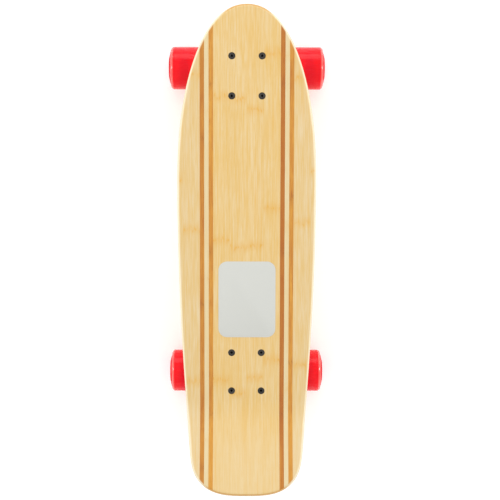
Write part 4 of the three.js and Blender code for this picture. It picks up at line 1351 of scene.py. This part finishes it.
# %% Wheel profile
wheel_hub = [
    (22.35, 15.3), (22.5, 14.7), (22.45, 14.2), (22.1, 13.85), (21.4, 13.65), (17.0, 12.9), (13.2, 12.3),
    (12.4, 12.0), (12.1, 11.6), (12.0, 11.2), (5.0, 11.2), (5.0, 8.8), (4.7, 8.5),
]
wheel_outer_half = [
    (0, 30.0), (9, 30.0), (14.8, 30.0), (16.2, 29.93), (17.3, 29.68), (18.2, 29.2), (18.9, 28.55),
    (19.4, 27.7), (19.7, 26.7), (19.85, 25.6), (19.9, 25.0), (19.78, 24.8), (19.82, 24.5), (20.05, 24.3),
    (20.45, 23.0), (20.9, 21.4), (21.3, 19.8), (21.7, 18.1), (22.05, 16.5), *wheel_hub,
]
wheel_truck_half = [
    (0, 30.0), (9, 30.0), (19.0, 30.0), (20.0, 29.9), (20.8, 29.6), (21.4, 29.1), (21.75, 28.5),
    (21.9, 27.8), (21.95, 25.1), (21.8, 24.9), (21.8, 24.5), (21.95, 24.3), (22.0, 22.0), (22.1, 18.1),
    (22.2, 16.5), *wheel_hub,
]
wheel = turned([*wheel_outer_half, *other_half(wheel_truck_half)], 112)
# Faces inside this radius take the darker red, a painted shade; the lip beyond LIP_START takes the paler
# pink, a painted highlight.
FACE_RADIUS = 27.7 * MM
LIP_START = 16.0 * MM
TREAD, FACE, LIP = range(3)
wheel_kinds = [
    FACE if face.center.xy.length < FACE_RADIUS else LIP if face.center.z > LIP_START else TREAD
    for face in wheel.data.polygons
]
print("wheel faces:", len(wheel.data.polygons))

# %% [markdown]
# A bearing has an outer race that turns with the wheel and an inner race that stays on the axle,
# so they are two pieces on two bodies. A rubber shield with a pressed groove closes each side. The
# speed washers keep the turning race clear of the hanger and of the nut.

# %% Bearings, washers and nuts
def both_faces(face):
    """A symmetrical ring profile from its upper face, listed from inside to outside."""
    return [*face, *other_half(face), face[0]]


outer_race = turned(both_faces([
    (2.6, 9.3), (3.3, 9.35), (3.5, 9.5), (3.5, 10.7), (3.42, 10.88), (3.2, 11.0),
]), 64)
shields = turned(both_faces([
    (2.2, 6.0), (2.95, 6.0), (3.1, 6.15), (3.1, 6.7), (2.85, 6.95), (2.85, 7.9), (3.1, 8.15), (3.12, 9.0),
    (3.05, 9.32), (2.4, 9.35),
]), 64)
bearing_kinds = kinds_of(outer_race, 0) + kinds_of(shields, 1)
bearing = joined([outer_race, shields])
inner_race = turned(both_faces([
    (3.2, 4.1), (3.42, 4.18), (3.5, 4.35), (3.5, 5.55), (3.35, 5.75), (2.3, 5.8),
]), 56)
speed_washer = turned(both_faces([(0.4, 4.15), (0.5, 4.3), (0.5, 5.4), (0.35, 5.6)]), 48)
axle_nut, axle_nut_kinds = lock_nut(AXLE_RADIUS + 0.05, 12.7, 4.7, 1.8, 0.6)
print("bearing parts ready")

# %% Put the wheels together
# How far the bearings, the speed washers and the nut stand from the wheel's middle
BEARING_PLACE = 8.5
WASHER_PLACE = 12.5
NUT_PLACE = 13.0


def along_hub(distance):
    """A step from the wheel's middle towards its outer face."""
    return Matrix.Translation((0, 0, distance * MM))


for truck in TRUCKS:
    for side, turn in (("right", UP_TO_RIGHT), ("left", UP_TO_LEFT)):
        corner = f"{truck}_{side}"
        hub = Matrix.Translation(middle_of(f"{corner}_wheel")) @ turn
        wheel_body, truck_body = f"{corner}_wheel_body", f"{truck}_truck"
        fitted(
            wheel, hub, f"{corner}_urethane_wheel", "red_urethane",
            [wheel_urethane, matt_face_painted_shade, polished_lip_painted_highlight], wheel_body, f"{corner}_wheel",
            kinds=wheel_kinds, angle=40,
        )
        for place, outwards in (("inner", -1), ("outer", 1)):
            seat = hub @ along_hub(outwards * BEARING_PLACE)
            fitted(
                bearing, seat, f"{corner}_bearing_race_{place}", "bearing_steel",
                [bearing_steel, black_rubber], wheel_body, f"{corner}_bearing_{place}",
                kinds=bearing_kinds,
            )
            fitted(
                inner_race, seat, f"{corner}_axle_race_{place}", "bearing_steel", [bearing_steel],
                truck_body,
            )
            fitted(
                speed_washer, hub @ along_hub(outwards * WASHER_PLACE),
                f"{corner}_speed_washer_{place}", "zinc_steel", [zinc_plate], truck_body,
            )
        fitted(
            axle_nut, hub @ along_hub(NUT_PLACE), f"{corner}_axle_lock_nut", "zinc_steel",
            [zinc_plate, white_nylon], truck_body, f"{corner}_axle_nut", kinds=axle_nut_kinds,
        )
discard(wheel, bearing, inner_race, speed_washer, axle_nut)

# %% [markdown]
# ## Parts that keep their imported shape
# The spacers between the bearings are plain tubes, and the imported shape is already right. They
# only need their finish.

# %% Spacers
for node_name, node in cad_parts.items():
    if node_name.endswith("_spacer"):
        node.data.materials.clear()
        node.data.materials.append(zinc_plate)
        print(node_name, "keeps its packed shape")
